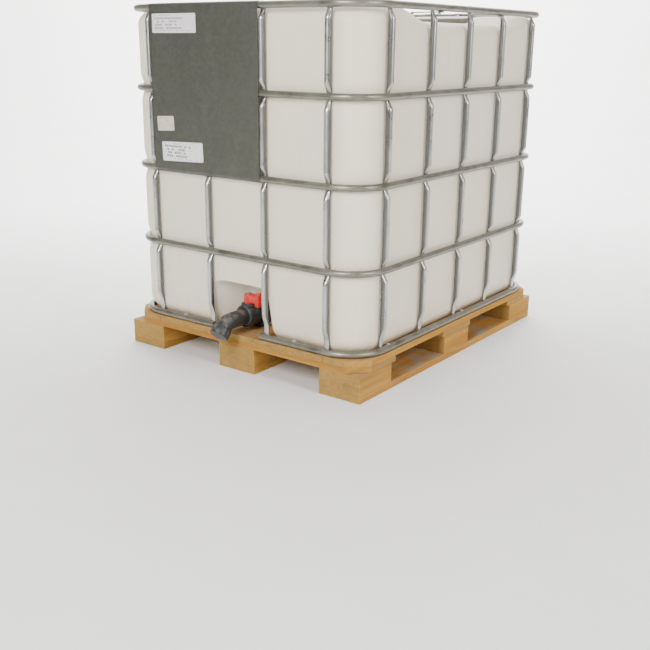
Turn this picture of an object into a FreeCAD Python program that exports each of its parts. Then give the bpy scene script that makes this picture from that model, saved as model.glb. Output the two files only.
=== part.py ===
import FreeCAD, Part
import math
import os

# Intermediate bulk container: a blow-moulded bottle in a welded tube cage on a wooden pallet.
# Millimetres. +Z is up, the valve faces -Y, +X is to the right of someone facing the valve.
# The origin is the centre of the footprint, on the floor.

# Footprint.
FOOT_X = 1000.0
FOOT_Y = 1200.0

# Pallet.
BOTTOM_BOARD_T = 22.0
BLOCK_H = 63.0
STRINGER_T = 20.0
DECK_T = 20.0
DECK_TOP = BOTTOM_BOARD_T + BLOCK_H + STRINGER_T + DECK_T
OUTER_BLOCK_X = 155.0
OUTER_BLOCK_Y = 177.0
CENTRE_BLOCK_X = 155.0
CENTRE_BLOCK_Y = 170.0
OUTER_STRINGER_W = 200.0
CENTRE_STRINGER_W = 190.0
DECK_BOARDS = 7
DECK_GAP = 1.0
DECK_CORNER_CUT = 60.0
WOOD_EDGE = 1.5
DECK_EDGE = 0.8
NAIL_R = 1.9
NAIL_HEAD_R = 4.0
NAIL_HEAD_T = 1.5
TOP_NAIL_L = 80.0
BOTTOM_NAIL_L = 60.0

# Cage tubes.
TUBE_R = 10.5
TUBE_WALL = 1.0
RAIL_X = 489.0
RAIL_Y = 588.5
RAIL_CORNER_R = 125.0
BOTTOM_RAIL_Z = DECK_TOP + TUBE_R
TOP_RAIL_Z = 1151.0
MIDDLE_RAIL_Z = (390.0, 646.0, 901.0)
RAIL_GAP_LEFT = -105.0
RAIL_GAP_RIGHT = 98.0
RAIL_BUTT_GAP = 0.6
SLEEVE_L = 60.0
SLEEVE_WALL = 1.2
FRONT_UPRIGHT_X = (-361.0, -118.0, 118.0, 361.0)
SIDE_UPRIGHT_Y = (-462.0, -231.0, 0.0, 231.0, 462.0)

# Pressed crossings, where an upright passes behind a rail. Both tubes are flattened there.
RAIL_FLAT_IN = 3.5
RAIL_FLAT_HALF = 14.0
RAIL_FLAT_SLOPE = 7.0
PRESS_HALF_WIDTH = 9.6
PRESS_HALF_DEPTH = 3.9
CROSSING_GAP = 0.1
CROSSING_IN = RAIL_FLAT_IN + CROSSING_GAP + PRESS_HALF_DEPTH
CROSSING_FLAT = 11.0
CROSSING_RUN = 27.0
CROSSING_LEAD = 6.0
FOOT_HALF_WIDTH = 10.0
FOOT_HALF_DEPTH = 3.9
FOOT_IN = RAIL_FLAT_IN + CROSSING_GAP + FOOT_HALF_DEPTH
FOOT_FLAT_TOP = 168.0
FOOT_ROUND = 214.0
UPRIGHT_FOOT_Z = DECK_TOP + 0.5
UPRIGHT_TOP_Z = TOP_RAIL_Z + 7.0

# Bars across the top of the bottle.
BAR_Y = 200.0
BAR_R = 10.0
BAR_WALL = 1.5
BAR_Z = 1123.0
BAR_ROUND_X = 352.0
BAR_FLAT_X = 405.0
BAR_END_X = 498.0
BAR_TAB_HALF_WIDTH = 13.0
BAR_TAB_HALF_T = 2.2
BAR_TAB_Z = TOP_RAIL_Z - TUBE_R - BAR_TAB_HALF_T - 0.05
BAR_VENT_R = 3.0
BAR_VENT_X = 320.0
BAR_SCREW_R = 3.0
BAR_SCREW_TIP = 12.0

# Screws that hold the bottom rail to the deck.
HOLD_SCREW_R = 3.0
HOLD_SCREW_DEPTH = 34.0
HOLD_SCREW_SIDE_Y = (-432.0, 45.0, 432.0)
HOLD_SCREW_END_X = 240.0
HEX_HEAD_R = 5.8
HEX_HEAD_T = 4.2
SCREW_CLEARANCE = 0.05

# Sheet-steel label plate, folded over two rails.
PLATE_X0 = -344.0
PLATE_X1 = 112.0
PLATE_T = 1.0
PLATE_GAP = 0.6
PLATE_CURL = 100.0
LABEL_T = 0.3

# Bottle.
BOTTLE_X = 476.0
BOTTLE_Y = 576.0
BOTTLE_WALL = 2.5
BOTTLE_CORNER_R = 112.0
BOTTLE_SHOULDER_R = 45.0
BOTTLE_FOOT_R = 45.0
TOP_FRONT_Z = 1149.0
TOP_MIDDLE_Z = 1111.0
TOP_REAR_Z = 1147.0
TOP_STEP_R = 150.0
FRONT_STEP_Y = (-345.0, -225.0)
REAR_STEP_Y = (285.0, 450.0)

# Filling neck and lid, on the middle of the top.
NECK_R = 80.0
NECK_BORE_R = 75.0
NECK_TOP_Z = 1137.0
LID_R = 93.0
LID_TOP_Z = 1150.0
LID_SKIRT_Z = 1114.0
LID_PLATE_T = 5.0
LID_THREAD_GAP = 0.3
LID_RIBS = 20
SEAL_GAP = 0.3
LID_VENT_R = 20.0
LID_BAR_H = 5.0

# Pocket in the front of the bottle, round the outlet.
POCKET_BACK_Y = -455.0
POCKET_FRONT_HALF_LOW = 80.0
POCKET_FRONT_HALF_HIGH = 66.0
POCKET_FRONT_Z = 285.0
POCKET_BACK_HALF_LOW = 66.0
POCKET_BACK_HALF_HIGH = 56.0
POCKET_BACK_Z = 262.0

# Outlet and ball valve, on a line along Y.
OUTLET_Z = 177.0
OUTLET_BORE_R = 25.0
OUTLET_NECK_R = 34.0
OUTLET_NECK_END_Y = -484.0
GASKET_T = 3.0
FLANGE_R = 38.0
FLANGE_T = 6.0
NUT_R = 48.0
NUT_RIB_R = 50.5
NUT_RIBS = 12
NUT_BACK_Y = -461.0
NUT_LIP_T = 6.0
NUT_GAP = 0.1
VALVE_PIPE_R = 29.8
VALVE_BORE_R = 22.0
VALVE_BORE_RUN = 100.0
BALL_Y = -531.0
BALL_R = 31.0
BALL_ROOM_R = 31.6
BALL_ROOM_HALF = 26.0
SEAT_DEPTH = 6.0
SEAT_GAP = 0.05
HOUSING_R = 37.0
HOUSING_HALF = 30.5
SPOUT_R = 27.0
SPOUT_CORNER_Y = -645.0
SPOUT_BEND_R = 60.0
SPOUT_AFTER_BEND = 46.0
SPOUT_FALL = 45.0
STEM_R = 8.0
STEM_GAP = 0.05
STEM_TONGUE = (6.0, 15.0, 7.0)
STEM_TOP_Z = 250.0
BONNET_R = 24.0
BONNET_TOP_Z = 218.0
STEM_SEAL_R = 11.0
STEM_SEAL_T = 3.0
LEVER_HUB_R = 20.0
LEVER_LENGTH = 54.0
LEVER_HALF_WIDTH = 13.0
LEVER_TOP_Z = 258.0
LEVER_BOTTOM_GAP = 0.4
LEVER_HUB_TOP_Z = 250.5

# Screw cap on the spout.
CAP_R = 32.0
CAP_T = 4.0
CAP_SKIRT = 24.0
CAP_RIBS = 18
CAP_RIB_R = 1.2
CAP_THREAD_GAP = 0.3
CAP_SEAL_T = 2.4

OUT = "parts"
UP = FreeCAD.Vector(0, 0, 1)
RIGHT = FreeCAD.Vector(1, 0, 0)
BACK = FreeCAD.Vector(0, 1, 0)
FORWARD = FreeCAD.Vector(0, -1, 0)


def vec(x, y, z):
    return FreeCAD.Vector(x, y, z)


def block(x0, x1, y0, y1, z0, z1):
    """A box between two corners."""
    return Part.makeBox(x1 - x0, y1 - y0, z1 - z0, vec(x0, y0, z0))


def rod(radius, start, direction, length):
    """A solid cylinder from a start point along a direction."""
    return Part.makeCylinder(radius, length, start, direction)


def ring(outer_r, inner_r, start, direction, length):
    """A cylinder with a hole down its axis."""
    return rod(outer_r, start, direction, length).cut(rod(inner_r, start, direction, length))


def polygon_prism(points, direction):
    """A flat outline of straight sides, extruded along a vector."""
    return Part.Face(Part.makePolygon(points + [points[0]])).extrude(direction)


def hex_prism(radius, centre, height):
    """An upright hexagon, such as a screw head, from its corner radius."""
    corners = [centre + vec(radius * math.cos(a), radius * math.sin(a), 0)
               for a in (math.radians(60 * i) for i in range(6))]
    return polygon_prism(corners, UP * height)


def eased(solid, size=WOOD_EDGE):
    """Take the sharpness off every edge of a sawn board."""
    return solid.makeChamfer(size, solid.Edges)


def bent_path(points, radius):
    """Straight runs through the points, with a tangent arc of one radius at each bend."""
    edges = []
    start = points[0]
    for before, corner, after in zip(points, points[1:], points[2:]):
        towards = (before - corner).normalize()
        away = (after - corner).normalize()
        half = towards.getAngle(away) / 2
        setback = radius / math.tan(half)
        first = corner + towards * setback
        last = corner + away * setback
        inward = (towards + away).normalize()
        middle = corner + inward * (radius / math.sin(half) - radius)
        edges.append(Part.LineSegment(start, first).toShape())
        edges.append(Part.Arc(first, middle, last).toShape())
        start = last
    edges.append(Part.LineSegment(start, points[-1]).toShape())
    return Part.Wire(edges)


def swept_rod(points, bend_r, radius):
    """A round rod along a bent path."""
    path = bent_path(points, bend_r)
    along = (points[1] - points[0]).normalize()
    section = Part.Wire(Part.Circle(points[0], along, radius).toShape())
    return path.makePipeShell([section], True, False)


def rounded_slab(half_x, half_y, corner_r, z0, z1):
    """An upright prism with a rounded rectangle for its plan."""
    slab = block(-half_x, half_x, -half_y, half_y, z0, z1)
    upright_edges = [e for e in slab.Edges if abs(e.tangentAt(e.FirstParameter).z) > 0.9]
    return slab.makeFillet(corner_r, upright_edges)


def oval(x, y, z, half_x, half_y):
    """A flat oval wire, level, that starts on its +X side."""
    if half_x > half_y:
        return Part.Wire(Part.Ellipse(vec(x, y, z), half_x, half_y).toShape())
    return Part.Wire(Part.Circle(vec(x, y, z), UP, half_x).toShape())


def grip_ribs(count, radius, rib_r, z0, height):
    """Half-round ribs spaced round the Z axis."""
    ribs = []
    for i in range(count):
        angle = 2 * math.pi * i / count
        ribs.append(rod(rib_r, vec(radius * math.cos(angle), radius * math.sin(angle), z0), UP, height))
    return ribs


# ---------------------------------------------------------------- pallet

BLOCK_COLUMNS = (
    (-FOOT_X / 2, -FOOT_X / 2 + OUTER_BLOCK_X),
    (-CENTRE_BLOCK_X / 2, CENTRE_BLOCK_X / 2),
    (FOOT_X / 2 - OUTER_BLOCK_X, FOOT_X / 2),
)
BLOCK_ROWS = (
    (-FOOT_Y / 2, -FOOT_Y / 2 + OUTER_BLOCK_Y),
    (-CENTRE_BLOCK_Y / 2, CENTRE_BLOCK_Y / 2),
    (FOOT_Y / 2 - OUTER_BLOCK_Y, FOOT_Y / 2),
)
STRINGER_ROWS = (
    (-FOOT_Y / 2, -FOOT_Y / 2 + OUTER_STRINGER_W),
    (-CENTRE_STRINGER_W / 2, CENTRE_STRINGER_W / 2),
    (FOOT_Y / 2 - OUTER_STRINGER_W, FOOT_Y / 2),
)


def nail_places():
    """Two nails across the corners of every block, seen from above."""
    places = []
    for x0, x1 in BLOCK_COLUMNS:
        for y0, y1 in BLOCK_ROWS:
            for side in (-1, 1):
                x = (x0 + x1) / 2 + side * (x1 - x0) * 0.26
                y = (y0 + y1) / 2 + side * (y1 - y0) * 0.24
                places.append((x, y))
    return places


def nail(x, y, head_z, direction, length, grow):
    """A round nail with a flat head flush at head_z; grow makes the hole for it."""
    shank = rod(NAIL_R + grow, vec(x, y, head_z), direction, length + grow)
    head = rod(NAIL_HEAD_R + grow, vec(x, y, head_z), direction, NAIL_HEAD_T + grow)
    return shank.fuse(head)


def pallet_nails(grow=0.0):
    """Nails from the deck down into the blocks, and from the floor side up into them."""
    down = UP * -1
    nails = []
    for x, y in nail_places():
        nails.append(nail(x, y, DECK_TOP, down, TOP_NAIL_L, grow))
        nails.append(nail(-x, y, 0, UP, BOTTOM_NAIL_L, grow))
    return nails


def hold_screw_places():
    """Where the bottom rail is screwed to the deck, always over a stringer."""
    sides = [(side * RAIL_X, y) for side in (-1, 1) for y in HOLD_SCREW_SIDE_Y]
    ends = [(side * HOLD_SCREW_END_X, y) for side in (-1, 1) for y in (-RAIL_Y, RAIL_Y)]
    return sides + ends


def hold_down_screws(grow=0.0):
    """Hexagon-head screws through the bottom rail into the deck."""
    screws = []
    top = BOTTOM_RAIL_Z + TUBE_R
    for x, y in hold_screw_places():
        length = 2 * TUBE_R + HOLD_SCREW_DEPTH
        shank = rod(HOLD_SCREW_R + grow, vec(x, y, top), UP * -1, length + grow)
        head = hex_prism(HEX_HEAD_R, vec(x, y, top), HEX_HEAD_T)
        screws.append(shank.fuse(head))
    return screws


def corner_cutters():
    """Wedges that cut the four corners of the deck at 45 degrees."""
    cutters = []
    for sx in (-1, 1):
        for sy in (-1, 1):
            x = sx * FOOT_X / 2
            y = sy * FOOT_Y / 2
            far = 5.0
            points = [
                vec(x - sx * (DECK_CORNER_CUT + far), y + sy * far, 0),
                vec(x + sx * far, y - sy * (DECK_CORNER_CUT + far), 0),
                vec(x + sx * far, y + sy * far, 0),
            ]
            cutters.append(polygon_prism(points, UP * (2 * DECK_TOP)))
    return cutters


def fastener_holes():
    """Room for every nail and screw that the wood holds."""
    return Part.makeCompound(pallet_nails(SCREW_CLEARANCE) + hold_down_screws(SCREW_CLEARANCE))


def bottom_board(column, holes):
    """A board on the floor, under one column of blocks."""
    x0, x1 = BLOCK_COLUMNS[column]
    return eased(block(x0, x1, -FOOT_Y / 2, FOOT_Y / 2, 0, BOTTOM_BOARD_T)).cut(holes)


def block_row(row, holes):
    """Three blocks side by side."""
    y0, y1 = BLOCK_ROWS[row]
    z0 = BOTTOM_BOARD_T
    return [eased(block(x0, x1, y0, y1, z0, z0 + BLOCK_H)).cut(holes) for x0, x1 in BLOCK_COLUMNS]


def stringer(row, holes):
    """A board across a row of blocks, under the deck."""
    y0, y1 = STRINGER_ROWS[row]
    z0 = BOTTOM_BOARD_T + BLOCK_H
    board = block(-FOOT_X / 2, FOOT_X / 2, y0, y1, z0, z0 + STRINGER_T)
    for cutter in corner_cutters():
        board = board.cut(cutter)
    return eased(board).cut(holes)


def deck_boards(holes):
    """The boards that the bottle stands on, front to back."""
    width = (FOOT_X - (DECK_BOARDS - 1) * DECK_GAP) / DECK_BOARDS
    boards = []
    for i in range(DECK_BOARDS):
        x0 = -FOOT_X / 2 + i * (width + DECK_GAP)
        board = block(x0, x0 + width, -FOOT_Y / 2, FOOT_Y / 2, DECK_TOP - DECK_T, DECK_TOP)
        for cutter in corner_cutters():
            board = board.cut(cutter)
        boards.append(eased(board, DECK_EDGE).cut(holes))
    return boards


# ------------------------------------------------------------------ cage

def upright_places():
    """The foot of every upright by name, and the turn that points its inner side at the bottle."""
    places = {}
    for i, x in enumerate(FRONT_UPRIGHT_X, 1):
        places["upright_front_%d" % i] = (vec(x, -RAIL_Y, 0), 0)
        places["upright_rear_%d" % i] = (vec(x, RAIL_Y, 0), 180)
    for i, y in enumerate(SIDE_UPRIGHT_Y, 1):
        places["upright_left_%d" % i] = (vec(-RAIL_X, y, 0), -90)
        places["upright_right_%d" % i] = (vec(RAIL_X, y, 0), 90)
    return places


def flattening(z, wall):
    """Wedges that take the inner side off a rail at every crossing, moved outward by the wall."""
    half = RAIL_FLAT_HALF + wall
    foot = half + RAIL_FLAT_SLOPE
    near = RAIL_FLAT_IN - wall
    far = near + TUBE_R
    wedges = []
    for place, turn in upright_places().values():
        outline = [vec(-half, near, 0), vec(half, near, 0), vec(foot, far, 0), vec(-foot, far, 0)]
        wedge = polygon_prism(outline, UP * (4 * TUBE_R))
        wedge.rotate(vec(0, 0, 0), UP, turn)
        wedge.translate(place + UP * (z - 2 * TUBE_R))
        wedges.append(wedge)
    return Part.makeCompound(wedges)


def rail_tube(points, z):
    """A rail along its corner points, pressed flat wherever an upright crosses it."""
    outside = swept_rod(points, RAIL_CORNER_R, TUBE_R).cut(flattening(z, 0.0))
    bore = swept_rod(points, RAIL_CORNER_R, TUBE_R - TUBE_WALL).cut(flattening(z, TUBE_WALL))
    return outside.cut(bore)


def bottom_rail():
    """The lowest rail, open at the front to leave room for the valve."""
    points = [
        vec(RAIL_GAP_RIGHT, -RAIL_Y, BOTTOM_RAIL_Z),
        vec(RAIL_X, -RAIL_Y, BOTTOM_RAIL_Z),
        vec(RAIL_X, RAIL_Y, BOTTOM_RAIL_Z),
        vec(-RAIL_X, RAIL_Y, BOTTOM_RAIL_Z),
        vec(-RAIL_X, -RAIL_Y, BOTTOM_RAIL_Z),
        vec(RAIL_GAP_LEFT, -RAIL_Y, BOTTOM_RAIL_Z),
    ]
    rail = rail_tube(points, BOTTOM_RAIL_Z)
    for x, y in hold_screw_places():
        rail = rail.cut(rod(HOLD_SCREW_R + SCREW_CLEARANCE, vec(x, y, DECK_TOP - 1), UP, 4 * TUBE_R))
    return rail


def closed_rail(z):
    """A rail right round the cage, butted together at the middle of the rear."""
    half_gap = RAIL_BUTT_GAP / 2
    points = [
        vec(half_gap, RAIL_Y, z),
        vec(RAIL_X, RAIL_Y, z),
        vec(RAIL_X, -RAIL_Y, z),
        vec(-RAIL_X, -RAIL_Y, z),
        vec(-RAIL_X, RAIL_Y, z),
        vec(-half_gap, RAIL_Y, z),
    ]
    return rail_tube(points, z)


def top_rail():
    """The highest rail, drilled from below for the screws of the top bars."""
    rail = closed_rail(TOP_RAIL_Z)
    for x, y in bar_screw_places():
        start = vec(x, y, TOP_RAIL_Z - TUBE_R - 1)
        rail = rail.cut(rod(BAR_SCREW_R + SCREW_CLEARANCE, start, UP, TUBE_R))
    return rail


def rail_sleeves():
    """A short sleeve over the butt joint of each closed rail."""
    sleeves = []
    inner = TUBE_R + 0.05
    for z in MIDDLE_RAIL_Z + (TOP_RAIL_Z,):
        start = vec(-SLEEVE_L / 2, RAIL_Y, z)
        sleeves.append(ring(inner + SLEEVE_WALL, inner, start, RIGHT, SLEEVE_L))
    return sleeves


def crossing(z, radius_cut):
    """The pressed stretch of an upright behind a rail at height z; inward is +Y."""
    reach = CROSSING_FLAT + CROSSING_RUN
    round_r = TUBE_R - radius_cut
    flat_x = PRESS_HALF_WIDTH - radius_cut
    flat_y = PRESS_HALF_DEPTH - radius_cut
    sections = [
        oval(0, 0, z - reach - CROSSING_LEAD, round_r, round_r),
        oval(0, 0, z - reach, round_r, round_r),
        oval(0, CROSSING_IN, z - CROSSING_FLAT, flat_x, flat_y),
        oval(0, CROSSING_IN, z + CROSSING_FLAT, flat_x, flat_y),
        oval(0, 0, z + reach, round_r, round_r),
        oval(0, 0, z + reach + CROSSING_LEAD, round_r, round_r),
    ]
    return Part.makeLoft(sections, True, False)


def upright_core(radius_cut):
    """The outside of an upright, or its bore when radius_cut is the wall."""
    round_r = TUBE_R - radius_cut
    reach = CROSSING_FLAT + CROSSING_RUN + CROSSING_LEAD
    foot_x = FOOT_HALF_WIDTH - radius_cut
    foot_y = FOOT_HALF_DEPTH - radius_cut
    foot = Part.makeLoft([
        oval(0, FOOT_IN, FOOT_FLAT_TOP - CROSSING_LEAD, foot_x, foot_y),
        oval(0, FOOT_IN, FOOT_FLAT_TOP, foot_x, foot_y),
        oval(0, 0, FOOT_ROUND, round_r, round_r),
        oval(0, 0, FOOT_ROUND + CROSSING_LEAD, round_r, round_r),
    ], True, False)
    sole = oval(0, FOOT_IN, UPRIGHT_FOOT_Z, foot_x, foot_y)
    sole_height = FOOT_FLAT_TOP - CROSSING_LEAD - UPRIGHT_FOOT_Z
    pieces = [Part.Face(sole).extrude(UP * sole_height), foot]
    level = FOOT_ROUND + CROSSING_LEAD
    for z in MIDDLE_RAIL_Z:
        pieces.append(rod(round_r, vec(0, 0, level), UP, z - reach - level))
        pieces.append(crossing(z, radius_cut))
        level = z + reach
    pieces.append(rod(round_r, vec(0, 0, level), UP, TOP_RAIL_Z - reach - level))
    head = crossing(TOP_RAIL_Z, radius_cut)
    above = block(-50, 50, -50, 50, UPRIGHT_TOP_Z, UPRIGHT_TOP_Z + 100)
    pieces.append(head.cut(above))
    return pieces[0].multiFuse(pieces[1:]).removeSplitter()


def upright_blank():
    """One upright on the Z axis, with its inner side towards +Y."""
    return upright_core(0.0).cut(upright_core(TUBE_WALL))


def placed_uprights():
    """Every upright of the cage under its own name."""
    blank = upright_blank()
    uprights = {}
    for name, (place, turn) in upright_places().items():
        upright = blank.copy()
        upright.rotate(vec(0, 0, 0), UP, turn)
        upright.translate(place)
        uprights[name] = upright
    return uprights


def bar_screw_places():
    """Where the ends of the top bars are screwed to the top rail."""
    return [(side * RAIL_X, y) for y in (-BAR_Y, BAR_Y) for side in (-1, 1)]


def side_oval(x, y, z, half_y, half_z):
    """An oval wire that faces X and starts on its +Y side."""
    wire = oval(0, 0, 0, half_y, half_z)
    turn = FreeCAD.Rotation(BACK, UP, RIGHT, "ZXY")
    wire.Placement = FreeCAD.Placement(vec(x, y, z), turn)
    return wire


def bar_end(y):
    """The right-hand end of a top bar, drawn down to a flat tab under the rail."""
    half_w = BAR_TAB_HALF_WIDTH
    half_t = BAR_TAB_HALF_T
    neck = Part.makeLoft([
        side_oval(BAR_ROUND_X, y, BAR_Z, BAR_R, BAR_R),
        side_oval(BAR_ROUND_X + 6, y, BAR_Z, BAR_R, BAR_R),
        side_oval(BAR_FLAT_X - 6, y, BAR_TAB_Z, half_w, half_t),
        side_oval(BAR_FLAT_X, y, BAR_TAB_Z, half_w, half_t),
    ], True, False)
    tab = Part.Face(side_oval(BAR_FLAT_X, y, BAR_TAB_Z, half_w, half_t))
    return neck.fuse(tab.extrude(RIGHT * (BAR_END_X - BAR_FLAT_X)))


def top_bar(y):
    """A tube across the top of the bottle, with flattened ends and two vent holes."""
    middle = rod(BAR_R, vec(-BAR_ROUND_X, y, BAR_Z), RIGHT, 2 * BAR_ROUND_X)
    right = bar_end(y)
    left = right.mirror(vec(0, 0, 0), RIGHT)
    hollow_half = BAR_ROUND_X - 4
    hollow = rod(BAR_R - BAR_WALL, vec(-hollow_half, y, BAR_Z), RIGHT, 2 * hollow_half)
    bar = middle.multiFuse([right, left]).removeSplitter().cut(hollow)
    for side in (-1, 1):
        bar = bar.cut(rod(BAR_VENT_R, vec(side * BAR_VENT_X, y, BAR_Z), UP * -1, 2 * BAR_R))
        start = vec(side * RAIL_X, y, BAR_TAB_Z - 10)
        bar = bar.cut(rod(BAR_SCREW_R + SCREW_CLEARANCE, start, UP, 20))
    return bar


def top_bar_screws():
    """Screws from below through the tabs into the top rail."""
    screws = []
    seat = BAR_TAB_Z - BAR_TAB_HALF_T
    for x, y in bar_screw_places():
        shank = rod(BAR_SCREW_R, vec(x, y, seat), UP, BAR_SCREW_TIP)
        head = hex_prism(HEX_HEAD_R, vec(x, y, seat - HEX_HEAD_T), HEX_HEAD_T)
        screws.append(shank.fuse(head))
    return screws


def round_rail(z, radius, degrees):
    """A point round a front rail: 0 degrees is its front, 90 its top."""
    angle = math.radians(degrees)
    return vec(PLATE_X0, -RAIL_Y - radius * math.cos(angle), z + radius * math.sin(angle))


def label_plate():
    """A sheet of steel on the front of the cage, curled over the top rail and under a lower one."""
    inner = TUBE_R + PLATE_GAP
    outer = inner + PLATE_T
    low = MIDDLE_RAIL_Z[1]
    high = TOP_RAIL_Z
    bend = PLATE_CURL / 2
    edges = [
        Part.LineSegment(round_rail(low, outer, 0), round_rail(high, outer, 0)),
        Part.Arc(round_rail(high, outer, 0), round_rail(high, outer, bend), round_rail(high, outer, PLATE_CURL)),
        Part.LineSegment(round_rail(high, outer, PLATE_CURL), round_rail(high, inner, PLATE_CURL)),
        Part.Arc(round_rail(high, inner, PLATE_CURL), round_rail(high, inner, bend), round_rail(high, inner, 0)),
        Part.LineSegment(round_rail(high, inner, 0), round_rail(low, inner, 0)),
        Part.Arc(round_rail(low, inner, 0), round_rail(low, inner, -bend), round_rail(low, inner, -PLATE_CURL)),
        Part.LineSegment(round_rail(low, inner, -PLATE_CURL), round_rail(low, outer, -PLATE_CURL)),
        Part.Arc(round_rail(low, outer, -PLATE_CURL), round_rail(low, outer, -bend), round_rail(low, outer, 0)),
    ]
    outline = Part.Wire([edge.toShape() for edge in edges])
    return Part.Face(outline).extrude(RIGHT * (PLATE_X1 - PLATE_X0))


def sticker(x, z, width, height, tilt):
    """A thin label on the plate, centred at x and z and turned a little."""
    face_y = -RAIL_Y - TUBE_R - PLATE_GAP - PLATE_T
    label = block(-width / 2, width / 2, -LABEL_T, 0, -height / 2, height / 2)
    label.rotate(vec(0, 0, 0), BACK, tilt)
    label.translate(vec(x, face_y, z))
    return label


def plate_labels():
    """The three paper labels on the plate."""
    return [
        sticker(-234.0, 1102.0, 192.0, 58.0, 0.0),
        sticker(-287.0, 792.0, 76.0, 46.0, -3.0),
        sticker(-215.0, 705.0, 183.0, 62.0, -2.0),
    ]


# ---------------------------------------------------------------- bottle

def top_surface(inset):
    """The space under the stepped top of the bottle, moved down by inset."""
    far_x = BOTTLE_X + 50
    far_y = BOTTLE_Y + 50
    front_z = TOP_FRONT_Z - inset
    middle_z = TOP_MIDDLE_Z - inset
    rear_z = TOP_REAR_Z - inset
    crest = bent_path([
        vec(-far_x, -far_y, front_z),
        vec(-far_x, FRONT_STEP_Y[0], front_z),
        vec(-far_x, FRONT_STEP_Y[1], middle_z),
        vec(-far_x, REAR_STEP_Y[0], middle_z),
        vec(-far_x, REAR_STEP_Y[1], rear_z),
        vec(-far_x, far_y, rear_z),
    ], TOP_STEP_R)
    rest = Part.makePolygon([
        vec(-far_x, far_y, rear_z),
        vec(-far_x, far_y, 0),
        vec(-far_x, -far_y, 0),
        vec(-far_x, -far_y, front_z),
    ])
    outline = Part.Wire(crest.Edges + rest.Edges)
    return Part.Face(outline).extrude(RIGHT * (2 * far_x))


def bottle_form(inset):
    """The outer form of the bottle, or its hollow when inset is the wall."""
    plan = rounded_slab(BOTTLE_X - inset, BOTTLE_Y - inset, BOTTLE_CORNER_R - inset,
                        DECK_TOP + inset, TOP_FRONT_Z + 50)
    form = plan.common(top_surface(inset)).removeSplitter()
    shoulder = [e for e in form.Edges if e.BoundBox.ZMin > TOP_MIDDLE_Z - inset - 1]
    sides = [e for e in shoulder if not is_crest_line(e, inset)]
    form = form.makeFillet(BOTTLE_SHOULDER_R - inset, sides)
    foot = [e for e in form.Edges if e.BoundBox.ZMax < DECK_TOP + inset + 1]
    return form.makeFillet(BOTTLE_FOOT_R - inset, foot)


def is_crest_line(edge, inset):
    """True for the level lines across the top, which join its flats to its slopes."""
    box = edge.BoundBox
    return box.YLength < 1 and box.ZLength < 1 and abs(box.YMin) < BOTTLE_Y - inset - 1


def pocket(grow):
    """The space round the outlet that the front of the bottle leaves; grow adds the wall."""
    front_y = -BOTTLE_Y - 60.0
    depth = BOTTLE_Y + POCKET_BACK_Y
    stretch = (depth + 60.0) / depth
    half_low = POCKET_BACK_HALF_LOW + (POCKET_FRONT_HALF_LOW - POCKET_BACK_HALF_LOW) * stretch
    half_high = POCKET_BACK_HALF_HIGH + (POCKET_FRONT_HALF_HIGH - POCKET_BACK_HALF_HIGH) * stretch
    front_z = POCKET_BACK_Z + (POCKET_FRONT_Z - POCKET_BACK_Z) * stretch
    floor_z = DECK_TOP - 20.0
    back_y = POCKET_BACK_Y + grow

    def mouth(y, low, high, top):
        return Part.makePolygon([
            vec(-low - grow, y, floor_z),
            vec(low + grow, y, floor_z),
            vec(high + grow, y, top + grow),
            vec(-high - grow, y, top + grow),
            vec(-low - grow, y, floor_z),
        ])
    return Part.makeLoft([
        mouth(front_y, half_low, half_high, front_z),
        mouth(back_y, POCKET_BACK_HALF_LOW, POCKET_BACK_HALF_HIGH, POCKET_BACK_Z),
    ], True, True)


def bottle():
    """The blow-moulded bottle with its filling neck and outlet neck."""
    hollow = bottle_form(BOTTLE_WALL).cut(pocket(BOTTLE_WALL))
    shell = bottle_form(0.0).cut(pocket(0.0)).cut(hollow)
    neck_foot = TOP_MIDDLE_Z - BOTTLE_WALL
    neck = rod(NECK_R, vec(0, 0, neck_foot), UP, NECK_TOP_Z - neck_foot)
    outlet_start = vec(0, POCKET_BACK_Y + BOTTLE_WALL, OUTLET_Z)
    outlet_l = POCKET_BACK_Y + BOTTLE_WALL - OUTLET_NECK_END_Y
    outlet = rod(OUTLET_NECK_R, outlet_start, FORWARD, outlet_l)
    shell = shell.multiFuse([neck, outlet])
    shell = shell.cut(rod(NECK_BORE_R, vec(0, 0, neck_foot - 20), UP, 100))
    return shell.cut(rod(OUTLET_BORE_R, outlet_start + BACK * 20, FORWARD, outlet_l + 40))


def lid():
    """The screw lid: a ribbed skirt, a top plate and two raised grip bars."""
    height = LID_TOP_Z - LID_SKIRT_Z - LID_BAR_H
    body = rod(LID_R - 1.5, vec(0, 0, LID_SKIRT_Z), UP, height)
    body = body.makeFillet(3.0, [e for e in body.Edges if e.BoundBox.ZMin > LID_SKIRT_Z + 1])
    ribs = grip_ribs(LID_RIBS, LID_R - 3.5, 3.5, LID_SKIRT_Z, height - 4)
    bars = [block(side * 62 - 5, side * 62 + 5, -50, 50, LID_SKIRT_Z + height - 1, LID_TOP_Z)
            for side in (-1, 1)]
    rim = ring(54, 50, vec(0, 0, LID_SKIRT_Z + height - 1), UP, 3.5)
    body = body.multiFuse(ribs + bars + [rim])
    room = rod(NECK_R + LID_THREAD_GAP, vec(0, 0, LID_SKIRT_Z - 1), UP, height - LID_PLATE_T + 1)
    vent = rod(LID_VENT_R - 4, vec(0, 0, LID_SKIRT_Z), UP, 2 * height)
    return body.cut(room).cut(vent)


def lid_seal():
    """The flat ring between the neck and the lid."""
    thickness = lid_room_top() - NECK_TOP_Z - 2 * SEAL_GAP
    return ring(NECK_R - SEAL_GAP, NECK_BORE_R - 2, vec(0, 0, NECK_TOP_Z + SEAL_GAP), UP, thickness)


def lid_room_top():
    """The underside of the lid's top plate."""
    return LID_TOP_Z - LID_BAR_H - LID_PLATE_T


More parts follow.
